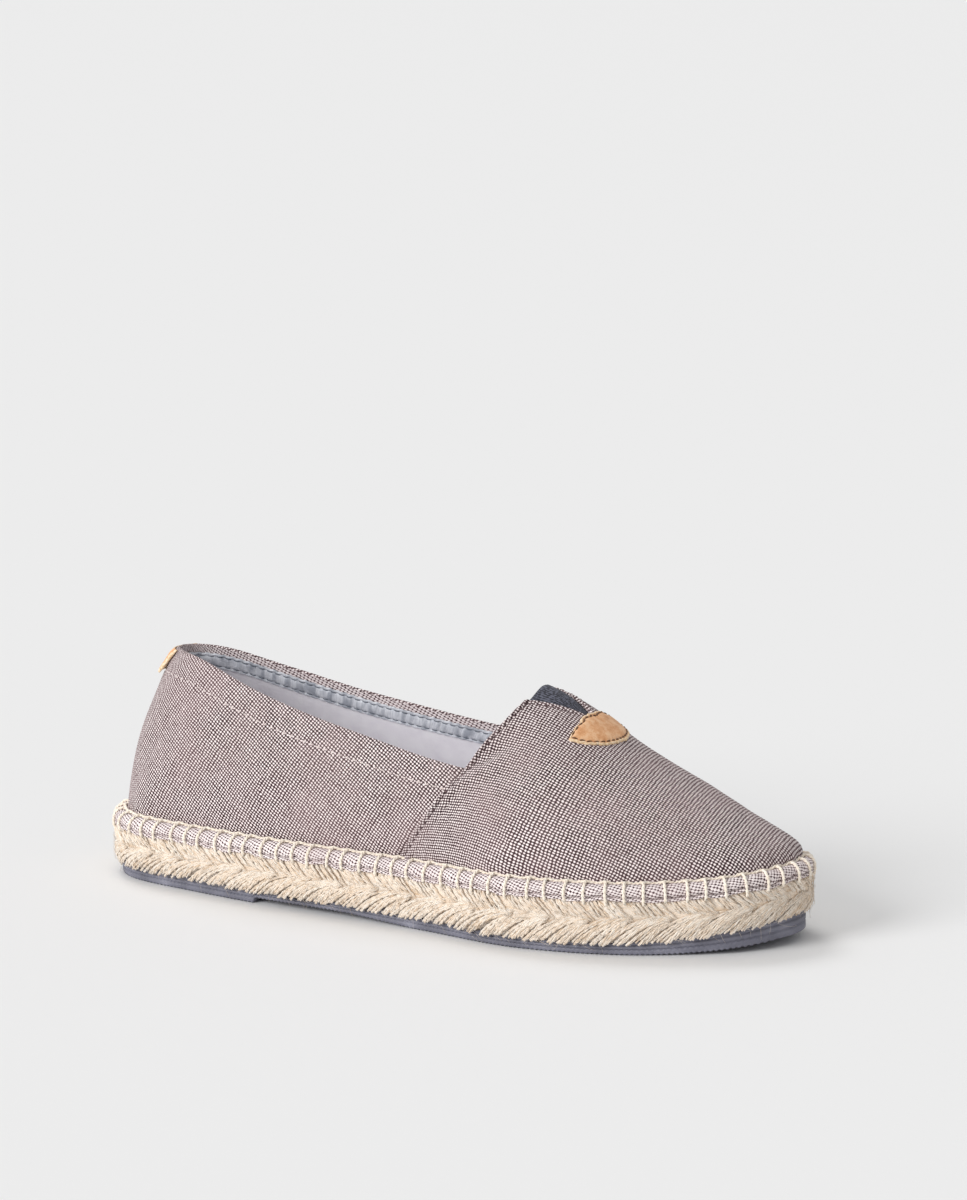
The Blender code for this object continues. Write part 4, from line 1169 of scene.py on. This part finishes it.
def cord_material():
    """Waxed cotton cord: warm ecru, a soft sheen along each ply."""
    material, shader = new_material("waxed_cord", Roughness=0.6, IOR=1.5,
                                    Sheen_Weight=0.2, Sheen_Roughness=0.5)
    # cotton fibres along the ply, of 0.1 mm drawn at about 0.3 mm
    fibre = streaks(material, add(material, "UVMap", uv_map="cloth"), (0.35, 5.0), detail=4.0)
    colour = add(material, "ValToRGB", {0: fibre},
                 [(0.30, "#EEDFCB"), (0.50, "#FFF3E2"), (0.70, "#FFFBF3")])
    return finish_material(material, shader, colour, fibre, 0.08 * MM)


cord_stuff = cord_material()


def cord_path(points):
    """Smooth path of evenly spaced places through the points."""
    knots = running_length(points)
    places = np.linspace(0, knots[-1], max(4, round(knots[-1] / CORD_STEP) + 1))
    return spline(knots, points)(places)


def crease_point(run, inset, lift):
    """Place beside the crease: inset from the outline, lift over the hem."""
    return edge_point(run, inset, JUTE_HEIGHT + HEM_WALL + lift + tilt(run))


def make_blanket_stitch():
    """A loop over the hem at each stitch, and the rail that joins them."""
    rng = np.random.default_rng(21)
    count = round(PERIMETER / STITCH_PITCH)
    starts = np.arange(count) * STITCH_PITCH + rng.uniform(-0.8, 0.8, count) * MM
    cords = []
    for start in starts:
        toeward = outline_at(start)[0] / LENGTH
        side = 1 if start < TOE_RUN else -1
        slant = rng.uniform(-0.5, 0.5) + (0.9 - 1.4 * toeward)
        bow = (0.9 - 1.0 * toeward) + rng.uniform(-0.3, 0.3)
        deep = rng.uniform(-0.5, 0.6)
        path = cord_path(np.array([
            crease_point(start - side * (slant * s + bow * b) * MM, inset * MM,
                         (lift - deep * deeper) * MM)
            for inset, lift, s, b, deeper in LOOP_PROFILE]))
        cords.append((path, np.append(outward(start), 0.6)))
    lifts, insets, places = [], [], []
    for start, following in zip(starts, np.roll(starts, -1)):
        gap = (following - start) % PERIMETER
        places += [start + share * gap for share, *_ in RAIL_NODES]
        lifts += [lift + rng.uniform(*wander) for _, lift, wander, _, _ in RAIL_NODES]
        insets += [inset + rng.uniform(*wander) for _, _, _, inset, wander in RAIL_NODES]
    rail = np.array([crease_point(run, inset * MM, lift * MM)
                     for run, inset, lift in zip(places, insets, lifts)])
    cords.append((cord_path(np.concatenate([rail, rail[:2]])), (0.0, 0.0, 1.0)))
    grids = []
    for path, out in cords:
        outs = np.broadcast_to(out, (1,) + path.shape)
        for ply in plied(path[None], outs, CORD_RADIUS, CORD_TWIST):
            grids.append((*tubes(ply[None], CORD_RADIUS, 6, len(grids), outs), 0))
    build("blanket_stitch", grids, [cord_stuff], "thread")


make_blanket_stitch()

# Gore: a strip of knitted elastic sewn behind the throat, so that the upper
# can stretch over the foot. Its free edge bows back between the ears.

GORE_MARGIN, GORE_THICKNESS, GORE_BULGE = 0.0030, 0.0010, 1.6 * MM
GORE_COLUMNS, GORE_ROWS = 53, 33


def gore_material():
    """Knitted elastic: slate threads over rubber, with fine ribs and no shine."""
    material, shader = new_material("knitted_elastic", Roughness=0.8, IOR=1.5,
                                    Sheen_Weight=0.06, Sheen_Roughness=0.4)
    uv = add(material, "UVMap", uv_map="cloth")
    # ribs of 0.8 mm and loops of 0.6 mm, drawn at 1.3 and 0.9 mm so that they show
    ribs = add(material, "TexWave", {"Vector": uv, "Scale": 0.24, "Distortion": 1.2,
                                     "Detail": 2.0, "Detail Scale": 3.0})
    loops = add(material, "TexVoronoi", {"Vector": uv, "Scale": 1.1})
    ribs = add(material, "Math", {0: ribs.outputs["Fac"], 1: 0.45}, operation="MULTIPLY")
    mixed = add(material, "Math", {0: loops.outputs["Distance"], 1: 0.95, 2: ribs},
                operation="MULTIPLY_ADD")
    colour = add(material, "ValToRGB", {0: mixed},
                 [(0.15, "#101118"), (0.60, "#2C2D38"), (1.00, "#686A79")])
    return finish_material(material, shader, colour, mixed, 0.15 * MM)


def gore_edge_shade_material():
    """The elastic's turned edge, nearly black: painted shade along the gore's free edge."""
    material, shader = new_material("elastic_edge_shade", Roughness=0.7, IOR=1.5)
    uv = add(material, "UVMap", uv_map="cloth")
    knit = add(material, "TexNoise", {"Vector": uv, "Scale": 1.5})
    colour = add(material, "ValToRGB", {0: knit}, [(0.35, "#14151B"), (0.65, "#2C2E38")])
    return finish_material(material, shader, colour, knit, 0.1 * MM)


def make_gore():
    """The panel, bowed up between the ears, with its turned edge rolled on it."""
    half = GORE_COLUMNS // 2
    column = np.arange(GORE_COLUMNS)
    # its free edge starts a little in front of the ears
    starts = SEAM_SHARE + np.interp(np.linspace(-1, 1, GORE_COLUMNS),
                                    [-1, -0.6, 0, 0.6, 1], [0.004, 0.004, 0.002, 0.001, 0.001])
    feet = starts + np.linspace(0, 1, GORE_ROWS)[:, None] * (APEX_FOOT - starts)
    side = np.where(column <= half, -1, 1) + 0 * feet.astype(int)
    edges = np.where(side < 0, *(throat_rise(feet.ravel(), hand).reshape(feet.shape)
                                 for hand in (-1, 1)))
    low = rise_below(feet, side, edges, [GORE_MARGIN]).reshape(feet.shape)
    rises = low + (1 - np.abs(column - half) / half) * (1 - low)
    under = WALL - THROAT_THINNED + 0.15 * MM
    place = last_point(feet, side, rises)
    left = np.maximum(THROAT_END - place[..., 0], 0) / THROAT_LENGTH
    width = THROAT_WIDTH / 2 * left ** THROAT_CURVE + 1e-6
    # pulled tight, it stands up between the ears and leans to the far one
    lean = (place[..., 1] - ridge_y(place[..., 0])) / width
    crown = np.clip(1 - lean ** 2, 0, 1)
    bulge = GORE_BULGE * crown * (1 + 0.4 * np.clip(lean, -1, 1)) * smooth(left / 0.7)
    outer = on_last(feet, side, rises, bulge - under)
    inner = on_last(feet, side, rises, bulge - under - GORE_THICKNESS)
    # the turned edge, a soft roll a little proud of the panel
    rim = [outer[0] + np.array((-0.9 * math.sin(turn) - 0.2, 0, 0.65 * math.cos(turn) - 0.5)) * MM
           for turn in np.radians([180, 140, 100, 60, 20])]
    skin = np.concatenate([inner[:1], rim, outer[1:]])
    uv = uv_grid(running_length(outer[0]) / MM, running_length(skin[:, half])[:, None] / MM)
    # the roll at the free edge takes the nearly black material, which is painted shade
    grids = [(skin[:6], uv[:6], 1), (skin[5:], uv[5:], 0), (inner, uv[-GORE_ROWS:], 0),
             (np.stack([outer[-1], inner[-1]]), uv[:2], 0)]
    for end in (0, -1):
        edge = [skin[:, end], np.concatenate([np.repeat(inner[:1, end], 5, axis=0),
                                              inner[:, end]])]
        grids.append((np.stack(edge), np.zeros((2, len(skin), 2)), 0))
    build("elastic_gore", grids, [gore_material(), gore_edge_shade_material()], "elastic", "gore")


make_gore()

# Throat tab: a half moon of vegetable-tanned calf over the foot of the throat,
# skived thin at its edge, a little padded, and sewn round with brown thread.

TAB_WIDTH, TAB_LENGTH, TAB_OVERLAP, TAB_ROUND = 0.0350, 0.0125, 0.0015, 0.62
TAB_START = THROAT_END - TAB_OVERLAP
TAB_CENTRE = np.array((TAB_START + 0.4 * TAB_LENGTH, 0.0))
TAB_BASE = VAMP_LAP + 0.10 * MM
TAB_POINTS, TAB_PUCKERS, TAB_STITCHES = 150, 34, 30
TAB_GROOVE, TAB_THREAD_RADIUS = 1.3, 0.27 * MM
TAB_PROFILE = [
    # inset and lift in mm: cut edge, padded rim, stitched groove, flat middle
    (0.0, -0.10), (0.0, 0.15), (0.05, 0.45), (0.25, 0.62), (0.7, 0.66), (1.0, 0.55),
    (1.3, 0.30), (1.6, 0.46), (2.0, 0.66), (2.9, 0.80), (4.0, 0.86),
]
TAB_STITCH_LIFT = np.array([0.12, 0.46, 0.62, 0.66, 0.62, 0.46, 0.12]) * MM


def leather_material():
    """Vegetable-tanned calf: warm tan, fine grain, waxed to a low gloss."""
    material, shader = new_material("tan_calf", Roughness=0.5, IOR=1.5, Coat_Weight=0.06,
                                    Coat_Roughness=0.4)
    place = add(material, "TexCoord").outputs["Object"]
    # grain cells of 0.4 mm
    grain = add(material, "TexVoronoi", {"Vector": place, "Scale": 2200.0},
                feature="SMOOTH_F1")
    mottle = add(material, "TexNoise", {"Vector": place, "Scale": 260.0, "Detail": 6.0,
                                        "Roughness": 0.65})
    mixed = add(material, "Math", {0: grain.outputs["Distance"], 1: 0.15, 2: mottle},
                operation="MULTIPLY_ADD")
    colour = add(material, "ValToRGB", {0: mixed},
                 [(0.36, "#D08E59"), (0.52, "#E8AD7B"), (0.66, "#F6C79B")])
    # duller where the wax has rubbed off
    dull = add(material, "MapRange", {0: mottle, 3: 0.42, 4: 0.62})
    link(material, dull, shader.inputs["Roughness"])
    return finish_material(material, shader, colour, mixed, 0.12 * MM)


calf = leather_material()
# cut edge of the same calf: pale, fibrous and matt
calf_edge = fibrous_material(
    "cut_calf_edge", 1200.0, [(0.35, "#DDB98C"), (0.50, "#F3D6B0"), (0.66, "#FFEBD2")],
    0.15 * MM, detail=5.0, Roughness=0.85, IOR=1.5)
# waxed polyester thread, dark brown with a small gloss
brown_thread = fibrous_material("brown_thread", 3000.0, [(0.35, "#4A2C12"), (0.65, "#74491F")],
                                0.05 * MM, Roughness=0.45, IOR=1.55)


def foot_and_rise(x, across):
    """The ribs and rises of the points at x and so far from the ridge."""
    side = np.where(across < 0, -1, 1)
    feet = np.linspace(0, 1, 600)
    foot = np.interp(x / LENGTH, RIB_AT(feet)[:, 0], feet)
    rise = np.ones(foot.shape)
    step = 1e-4
    for _ in range(12):
        here = last_point(foot, side, rise)
        miss = np.stack([x - here[..., 0], across - (here[..., 1] - ridge_y(here[..., 0]))], -1)
        by_foot = (last_point(foot + step, side, rise) - here)[..., :2] / step
        by_rise = (here - last_point(foot, side, rise - step))[..., :2] / step
        slope = np.stack([by_foot, by_rise], -1)
        change = np.linalg.solve(slope, miss[..., None])[..., 0]
        foot = np.clip(foot + change[..., 0], SEAM_SHARE, 1 - 2 * step)
        rise = np.clip(rise + change[..., 1], 0.2, 1.0)
    return foot, side, rise


def tab_outline(count):
    """Places (x, across) round the half moon, evenly spaced."""
    a = np.sin(np.linspace(-1, 1, 400) * math.pi / 2)
    front = np.stack([TAB_START + TAB_LENGTH * (1 - a * a) ** TAB_ROUND, a * TAB_WIDTH / 2], -1)
    b = np.linspace(1, -1, 200)
    wavy = 0.30 * MM * np.sin(9.0 * b + 0.6) + 0.16 * MM * np.sin(21 * b)
    back = np.stack([TAB_START - 0.7 * MM * (1 - b * b) + wavy * (1 - b ** 4),
                     b * TAB_WIDTH / 2], -1)
    loop = np.concatenate([front, back[1:]])
    run = running_length(loop)
    return points_at(np.linspace(0, run[-1], count + 1), run, loop)


def on_tab(places, out):
    """Points over the last at places (x, across from the ridge)."""
    return on_last(*foot_and_rise(places[..., 0], places[..., 1]), out)


def make_throat_tab():
    """The half moon in rings from its cut edge inwards, and its stitches."""
    columns = TAB_POINTS + 1
    away = tab_outline(TAB_POINTS) - TAB_CENTRE
    # cut by hand, and drawn in at each stitch
    turn = np.linspace(0, 2 * math.pi, columns)[:, None]
    snip = 0.16 * np.sin(30 * turn) + 0.10 * np.sin(13 * turn + 1) + 0.10 * np.sin(7 * turn)
    away = away * (1 + snip * MM / np.linalg.norm(away, axis=1, keepdims=True))
    far = np.linalg.norm(away, axis=1, keepdims=True)
    # the stitches pull the edge down and pucker it
    pucker = 0.10 * np.cos(2 * math.pi * np.linspace(0, TAB_PUCKERS, columns))
    rings = [TAB_CENTRE + away * np.maximum(1 - inset * MM / far, 0.1)
             for inset, _ in TAB_PROFILE]
    outs = [TAB_BASE + (lift + pucker * (0.1 < inset < 1.8)) * MM for inset, lift in TAB_PROFILE]
    last_ring = rings[-1] - TAB_CENTRE
    for share, lift in ((0.66, 0.90), (0.33, 0.92), (0.0, 0.93), (0.0, -0.1)):
        rings.append(TAB_CENTRE + last_ring * share)
        outs.append(np.full(columns, TAB_BASE + lift * MM))
    skin = on_tab(np.array(rings), np.array(outs))
    flat = np.zeros(skin.shape[:2] + (2,))
    grids = [(skin[:5], flat[:5], 1), (skin[4:14], flat[4:14], 0), (skin[[0, 14]], flat[:2], 1)]
    build("throat_tab_leather", grids, [calf, calf_edge], "tab_leather", "throat_tab")
    # stitches along the groove
    dense = 600
    away = tab_outline(dense) - TAB_CENTRE
    groove = TAB_CENTRE + away * (
        1 - TAB_GROOVE * MM / np.linalg.norm(away, axis=1, keepdims=True))
    picks = (np.arange(TAB_STITCHES)[:, None] + np.linspace(0.12, 0.86, 7)) / TAB_STITCHES
    threads = on_tab(groove[(picks * dense).astype(int)], TAB_BASE + TAB_STITCH_LIFT)
    body, uv = tubes(threads, TAB_THREAD_RADIUS, 6, np.arange(TAB_STITCHES))
    build("tab_stitches", [(body, uv, 0)], [brown_thread], "thread")


make_throat_tab()

# Collar binding: a grey-blue satin bias strip that covers the canvas turned
# over inside the collar, sewn along both edges, gathered round the heel.

BINDING_WIDTH, BINDING_DROP = 0.0068, 0.0030
BINDING_SETBACK, BINDING_STITCH = 0.004, 0.0033
BINDING_COLUMNS, BINDING_BASE = 300, WALL + 0.15 * MM
BINDING_SEAMS, BINDING_THREAD_RADIUS = (0.18, 0.82), 0.20 * MM
# its rows as shares of the width, and its thickness in mm at some of them
BINDING_ROWS = np.array([0, 0.03, 0.08, 0.14, 0.18, 0.22, 0.27, 0.35, 0.5, 0.65, 0.73, 0.78,
                         0.82, 0.86, 0.92, 0.97, 1.0])
BINDING_SHAPE = [(0, 0.03, 0.10, 0.18, 0.27, 0.5, 0.73, 0.82, 0.90, 0.97, 1.0),
                 (0.15, 0.5, 0.6, 0.30, 0.6, 0.75, 0.6, 0.30, 0.6, 0.5, 0.15)]
GATHER_REACH, GATHER_FOLD, EVEN_FOLD = 42 * MM, 1.05, 0.12
BINDING_STITCH_PLACES = np.array([-0.34, -0.24, -0.1, 0.05, 0.2, 0.30]) + 0.5
BINDING_STITCH_LIFT = np.array([0.15, 0.36, 0.46, 0.46, 0.36, 0.15]) * MM


def binding_material():
    """Satin-faced polyester tape: cool grey, smooth, with a broad soft gloss."""
    material, shader = new_material("satin_tape", Roughness=0.42, IOR=1.5,
                                    Sheen_Weight=0.2, Sheen_Roughness=0.3)
    uv = add(material, "UVMap", uv_map="cloth")
    # threads of 0.15 mm drawn at 0.4 mm, across the tape
    thread = streaks(material, uv, (2.5, 0.25), detail=3.0)
    colour = add(material, "ValToRGB", {0: thread},
                 [(0.30, "#C3C7CF"), (0.50, "#D6D9E0"), (0.70, "#E6E8EC")])
    # painted shade in bands across the tape, darkest in the low places of its bump, for the shade
    # in the creases of the gathers
    crease = streaks(material, uv, (0.30, 0.10), detail=1.0, turn=0.35)
    grey = add(material, "MapRange", {0: crease, 1: 0.55, 2: 0.38, 3: 0.0, 4: 0.7})
    mixed = add(material, "Mix", {0: grey, 6: colour, 7: linear("#838995")},
                data_type="RGBA")
    return finish_material(material, shader, mixed.outputs[2], crease, 0.8 * MM)


# polyester thread, slate grey with a small gloss
grey_thread = fibrous_material("grey_thread", 3000.0, [(0.35, "#4D5460"), (0.65, "#6E7683")],
                               0.05 * MM, Roughness=0.5, IOR=1.55)


def make_binding():
    """The strip from ear to ear round the heel, and its two rows of stitches."""
    shares = BINDING_ROWS
    feet = np.linspace(SEAM_SHARE - BINDING_SETBACK, 0, BINDING_COLUMNS)
    foot = np.concatenate([feet, feet[-2::-1]])
    side = np.where(np.arange(len(foot)) < BINDING_COLUMNS, -1, 1)
    edge = collar_rise(foot, side)
    run = running_length(last_point(foot, side, edge))
    back = run[BINDING_COLUMNS - 1]
    beat = np.cos(2 * math.pi * run / BINDING_STITCH)[:, None]
    wander = 0.18 * MM * beat
    rises = rise_below(foot, side, edge, BINDING_DROP + shares * (
        BINDING_WIDTH + 2 * wander) - wander)
    thick = np.interp(shares, *BINDING_SHAPE) * MM
    seams = sum(bump_at(shares, seam, 0.05) for seam in BINDING_SEAMS)
    height = thick - 0.20 * MM * seams * (0.5 + 0.5 * beat)
    # gathered where it turns round the heel: deep slanting folds between the seams
    gather = np.exp(-((run - back) / GATHER_REACH) ** 2)[:, None]
    folds = 0.45 * ripple(run, 3.6 * MM, 81) + 0.75 * ripple(run, 8.0 * MM, 82)
    fold = np.interp(run[:, None] + shares * 1.6 * MM, run, folds)
    height = height + (GATHER_FOLD * gather + EVEN_FOLD) * fold * MM * np.sin(
        math.pi * np.clip((shares - 0.1) / 0.8, 0, 1))
    height = np.maximum(height, 0.12 * MM)
    outer = on_last(foot[:, None], side[:, None], rises, -(BINDING_BASE + height))
    backing = on_last(foot[:, None], side[:, None], rises, -BINDING_BASE + 0 * height)
    uv = uv_grid(run[:, None] / MM, shares * BINDING_WIDTH / MM)
    grids = [(outer, uv, 0), (backing, uv, 0)]
    for line in (0, -1):
        grids.append((np.stack([outer[:, line], backing[:, line]]), uv[:, :2].swapaxes(0, 1), 0))
        grids.append((np.stack([outer[line], backing[line]]), uv[:2], 0))
    build("collar_binding_tape", grids, [binding_material()], "binding", "collar_binding")
    count = int(run[-1] / BINDING_STITCH)
    places = (np.arange(count)[:, None] + BINDING_STITCH_PLACES) * BINDING_STITCH
    at = np.interp(places.ravel(), run, side * foot)
    here, hand = np.abs(at), np.where(at < 0, -1, 1)
    stitches = []
    for seam in BINDING_SEAMS:
        rise = rise_below(here, hand, collar_rise(here, hand),
                          [BINDING_DROP + seam * BINDING_WIDTH])[:, 0]
        stitch = on_last(here, hand, rise, -(BINDING_BASE + np.tile(BINDING_STITCH_LIFT, count)))
        stitches.append(stitch.reshape(places.shape + (3,)))
    stitches = np.concatenate(stitches)
    body, uv = tubes(stitches, BINDING_THREAD_RADIUS, 5, np.arange(len(stitches)))
    build("binding_stitches", [(body, uv, 0)], [grey_thread], "thread")


make_binding()

# Heel tab: a short strip of the same calf, folded over the collar at the back
# and sewn near the top only, so that its foot stands off the canvas.

HEEL_TAB_WIDTH, HEEL_TAB_HEIGHT, HEEL_TAB_DROP = 0.0140, 0.0112, 0.0006
HEEL_TAB_THICKNESS, HEEL_TAB_STAND, HEEL_TAB_FOOT_SHARE = 0.0016, 0.0011, 0.05
HEEL_TAB_CUT_COLUMNS = 5


def make_heel_tab():
    """The strip, dented along its stitched sides, with its cut edges paler."""
    half = HEEL_TAB_WIDTH / 2
    shares = np.sin(np.linspace(-1, 1, 25) * math.pi / 2)
    downs = np.concatenate([[0, 0.02, 0.06], np.linspace(0.12, 0.88, 16), [0.94, 0.98, 1.0]])
    rise = rise_below([0.0], -1, collar_rise([0.0], -1),
                      HEEL_TAB_DROP + 0.5 * MM + (HEEL_TAB_HEIGHT - 0.5 * MM) * downs)[0][:, None]
    side = np.where(shares < 0, -1, 1)
    level = last_point(0.0, -1, rise)
    reach = last_point(HEEL_TAB_FOOT_SHARE, side, rise)
    foot = HEEL_TAB_FOOT_SHARE * np.abs(shares) * half / np.abs(reach[..., 1] - level[..., 1])
    down = downs[:, None]
    near = np.minimum(1 - np.abs(shares), np.minimum(down, 1 - down) * 1.4)
    thin = 0.8 * HEEL_TAB_THICKNESS * (0.55 + 0.45 * np.sqrt(np.minimum(1, near / 0.12)))
    thin = thin * (0.6 + 0.4 * smooth(down / 0.25))
    dent = 0.3 * MM * bump_at(np.abs(shares), 0.78, 0.06)
    stand = 0.3 * MM + HEEL_TAB_STAND * down ** 2
    inner = on_last(foot, side, rise + 0 * foot, stand + 0.2 * (HEEL_TAB_THICKNESS - thin))
    outer = on_last(foot, side, rise + 0 * foot, stand + thin - dent)
    flat = np.zeros(outer.shape[:2] + (2,))
    cut = HEEL_TAB_CUT_COLUMNS
    grids = [(outer[:, cut:-cut], flat[:, cut:-cut], 0), (inner, flat, 1),
             (outer[:, :cut + 1], flat[:, :cut + 1], 1),
             (outer[:, -cut - 1:], flat[:, :cut + 1], 1)]
    for end in (0, -1):
        grids.append((np.stack([outer[end], inner[end]]), flat[:2], 1))
        grids.append((np.stack([outer[:, end], inner[:, end]]), flat[:, :2].swapaxes(0, 1), 1))
    build("heel_tab_leather", grids, [calf, calf_edge], "tab_leather", "heel_tab")


make_heel_tab()

# Floor: a pale seamless sweep of studio paper, so large that its edge is far
# out of sight, under soft studio light.

FLOOR_REACH = 40.0


def make_floor():
    """A matt sheet that shows the soft shadow and little else."""
    material, shader = new_material("pale_paper", Roughness=0.9,
                                    Base_Color=linear("#F0F0F0"))
    mesh = bpy.data.meshes.new("floor")
    corners = [(-1, -1, 0), (1, -1, 0), (1, 1, 0), (-1, 1, 0)]
    mesh.from_pydata(np.array(corners) * FLOOR_REACH, [], [(0, 1, 2, 3)])
    mesh.materials.append(material)
    floor = bpy.data.objects.new("floor", mesh)
    bpy.context.scene.collection.objects.link(floor)


make_floor()


def soft_light(name, towards, strength, angle):
    """A broad even lamp, far off in that direction."""
    lamp = bpy.data.lights.new(name, "SUN")
    lamp.energy = strength
    lamp.angle = math.radians(angle)
    holder = bpy.data.objects.new(name, lamp)
    bpy.context.scene.collection.objects.link(holder)
    holder.rotation_euler = Vector(towards).to_track_quat("Z", "Y").to_euler()


soft_light("front_softbox", (-0.45, -0.90, 0.48), 1.95, 30)
soft_light("back_softbox", (-0.50, 0.35, 0.90), 0.75, 25)
world = bpy.data.worlds.new("studio")
world.use_nodes = True
background = world.node_tree.nodes["Background"]
background.inputs["Color"].default_value = linear("#FFFFFF")
background.inputs["Strength"].default_value = 0.50
bpy.context.scene.world = world
# so that the colours show as their hex values say
bpy.context.scene.view_settings.view_transform = "Standard"

# Camera: the photograph's long lens, level and a little above the floor, on
# the shoe's outer side and turned towards its toe.

AZIMUTH, ELEVATION, ROLL = 0.48870523, 0.19411424, -0.00488564
DISTANCE, LENS, SENSOR = 1.8006991, 146.787, 36.0
# the point that the camera looks at lies so far from the shoe's middle
PIVOT, SHIFT_ASIDE, SHIFT_UP = np.array((0.0, 0.0, 0.03)), -0.01128653, -0.08161335


def make_camera():
    """Angles in radians, distances in metres, lens and sensor in mm."""
    ahead = np.array((-math.sin(AZIMUTH) * math.cos(ELEVATION),
                      math.cos(AZIMUTH) * math.cos(ELEVATION), -math.sin(ELEVATION)))
    right = np.array((math.cos(AZIMUTH), math.sin(AZIMUTH), 0.0))
    up = np.cross(right, ahead)
    c, s = math.cos(ROLL), math.sin(ROLL)
    right, up = c * right + s * up, c * up - s * right
    place = PIVOT - SHIFT_ASIDE * right - SHIFT_UP * up - DISTANCE * ahead
    lens = bpy.data.cameras.new("camera")
    lens.lens = LENS
    lens.sensor_fit = "VERTICAL"
    lens.sensor_height = SENSOR
    camera = bpy.data.objects.new("camera", lens)
    bpy.context.scene.collection.objects.link(camera)
    turn = Matrix([list(row) for row in np.stack([right, up, -ahead], 1)])
    camera.matrix_world = Matrix.Translation(place) @ turn.to_4x4()
    bpy.context.scene.camera = camera


make_camera()

bpy.context.view_layer.update()
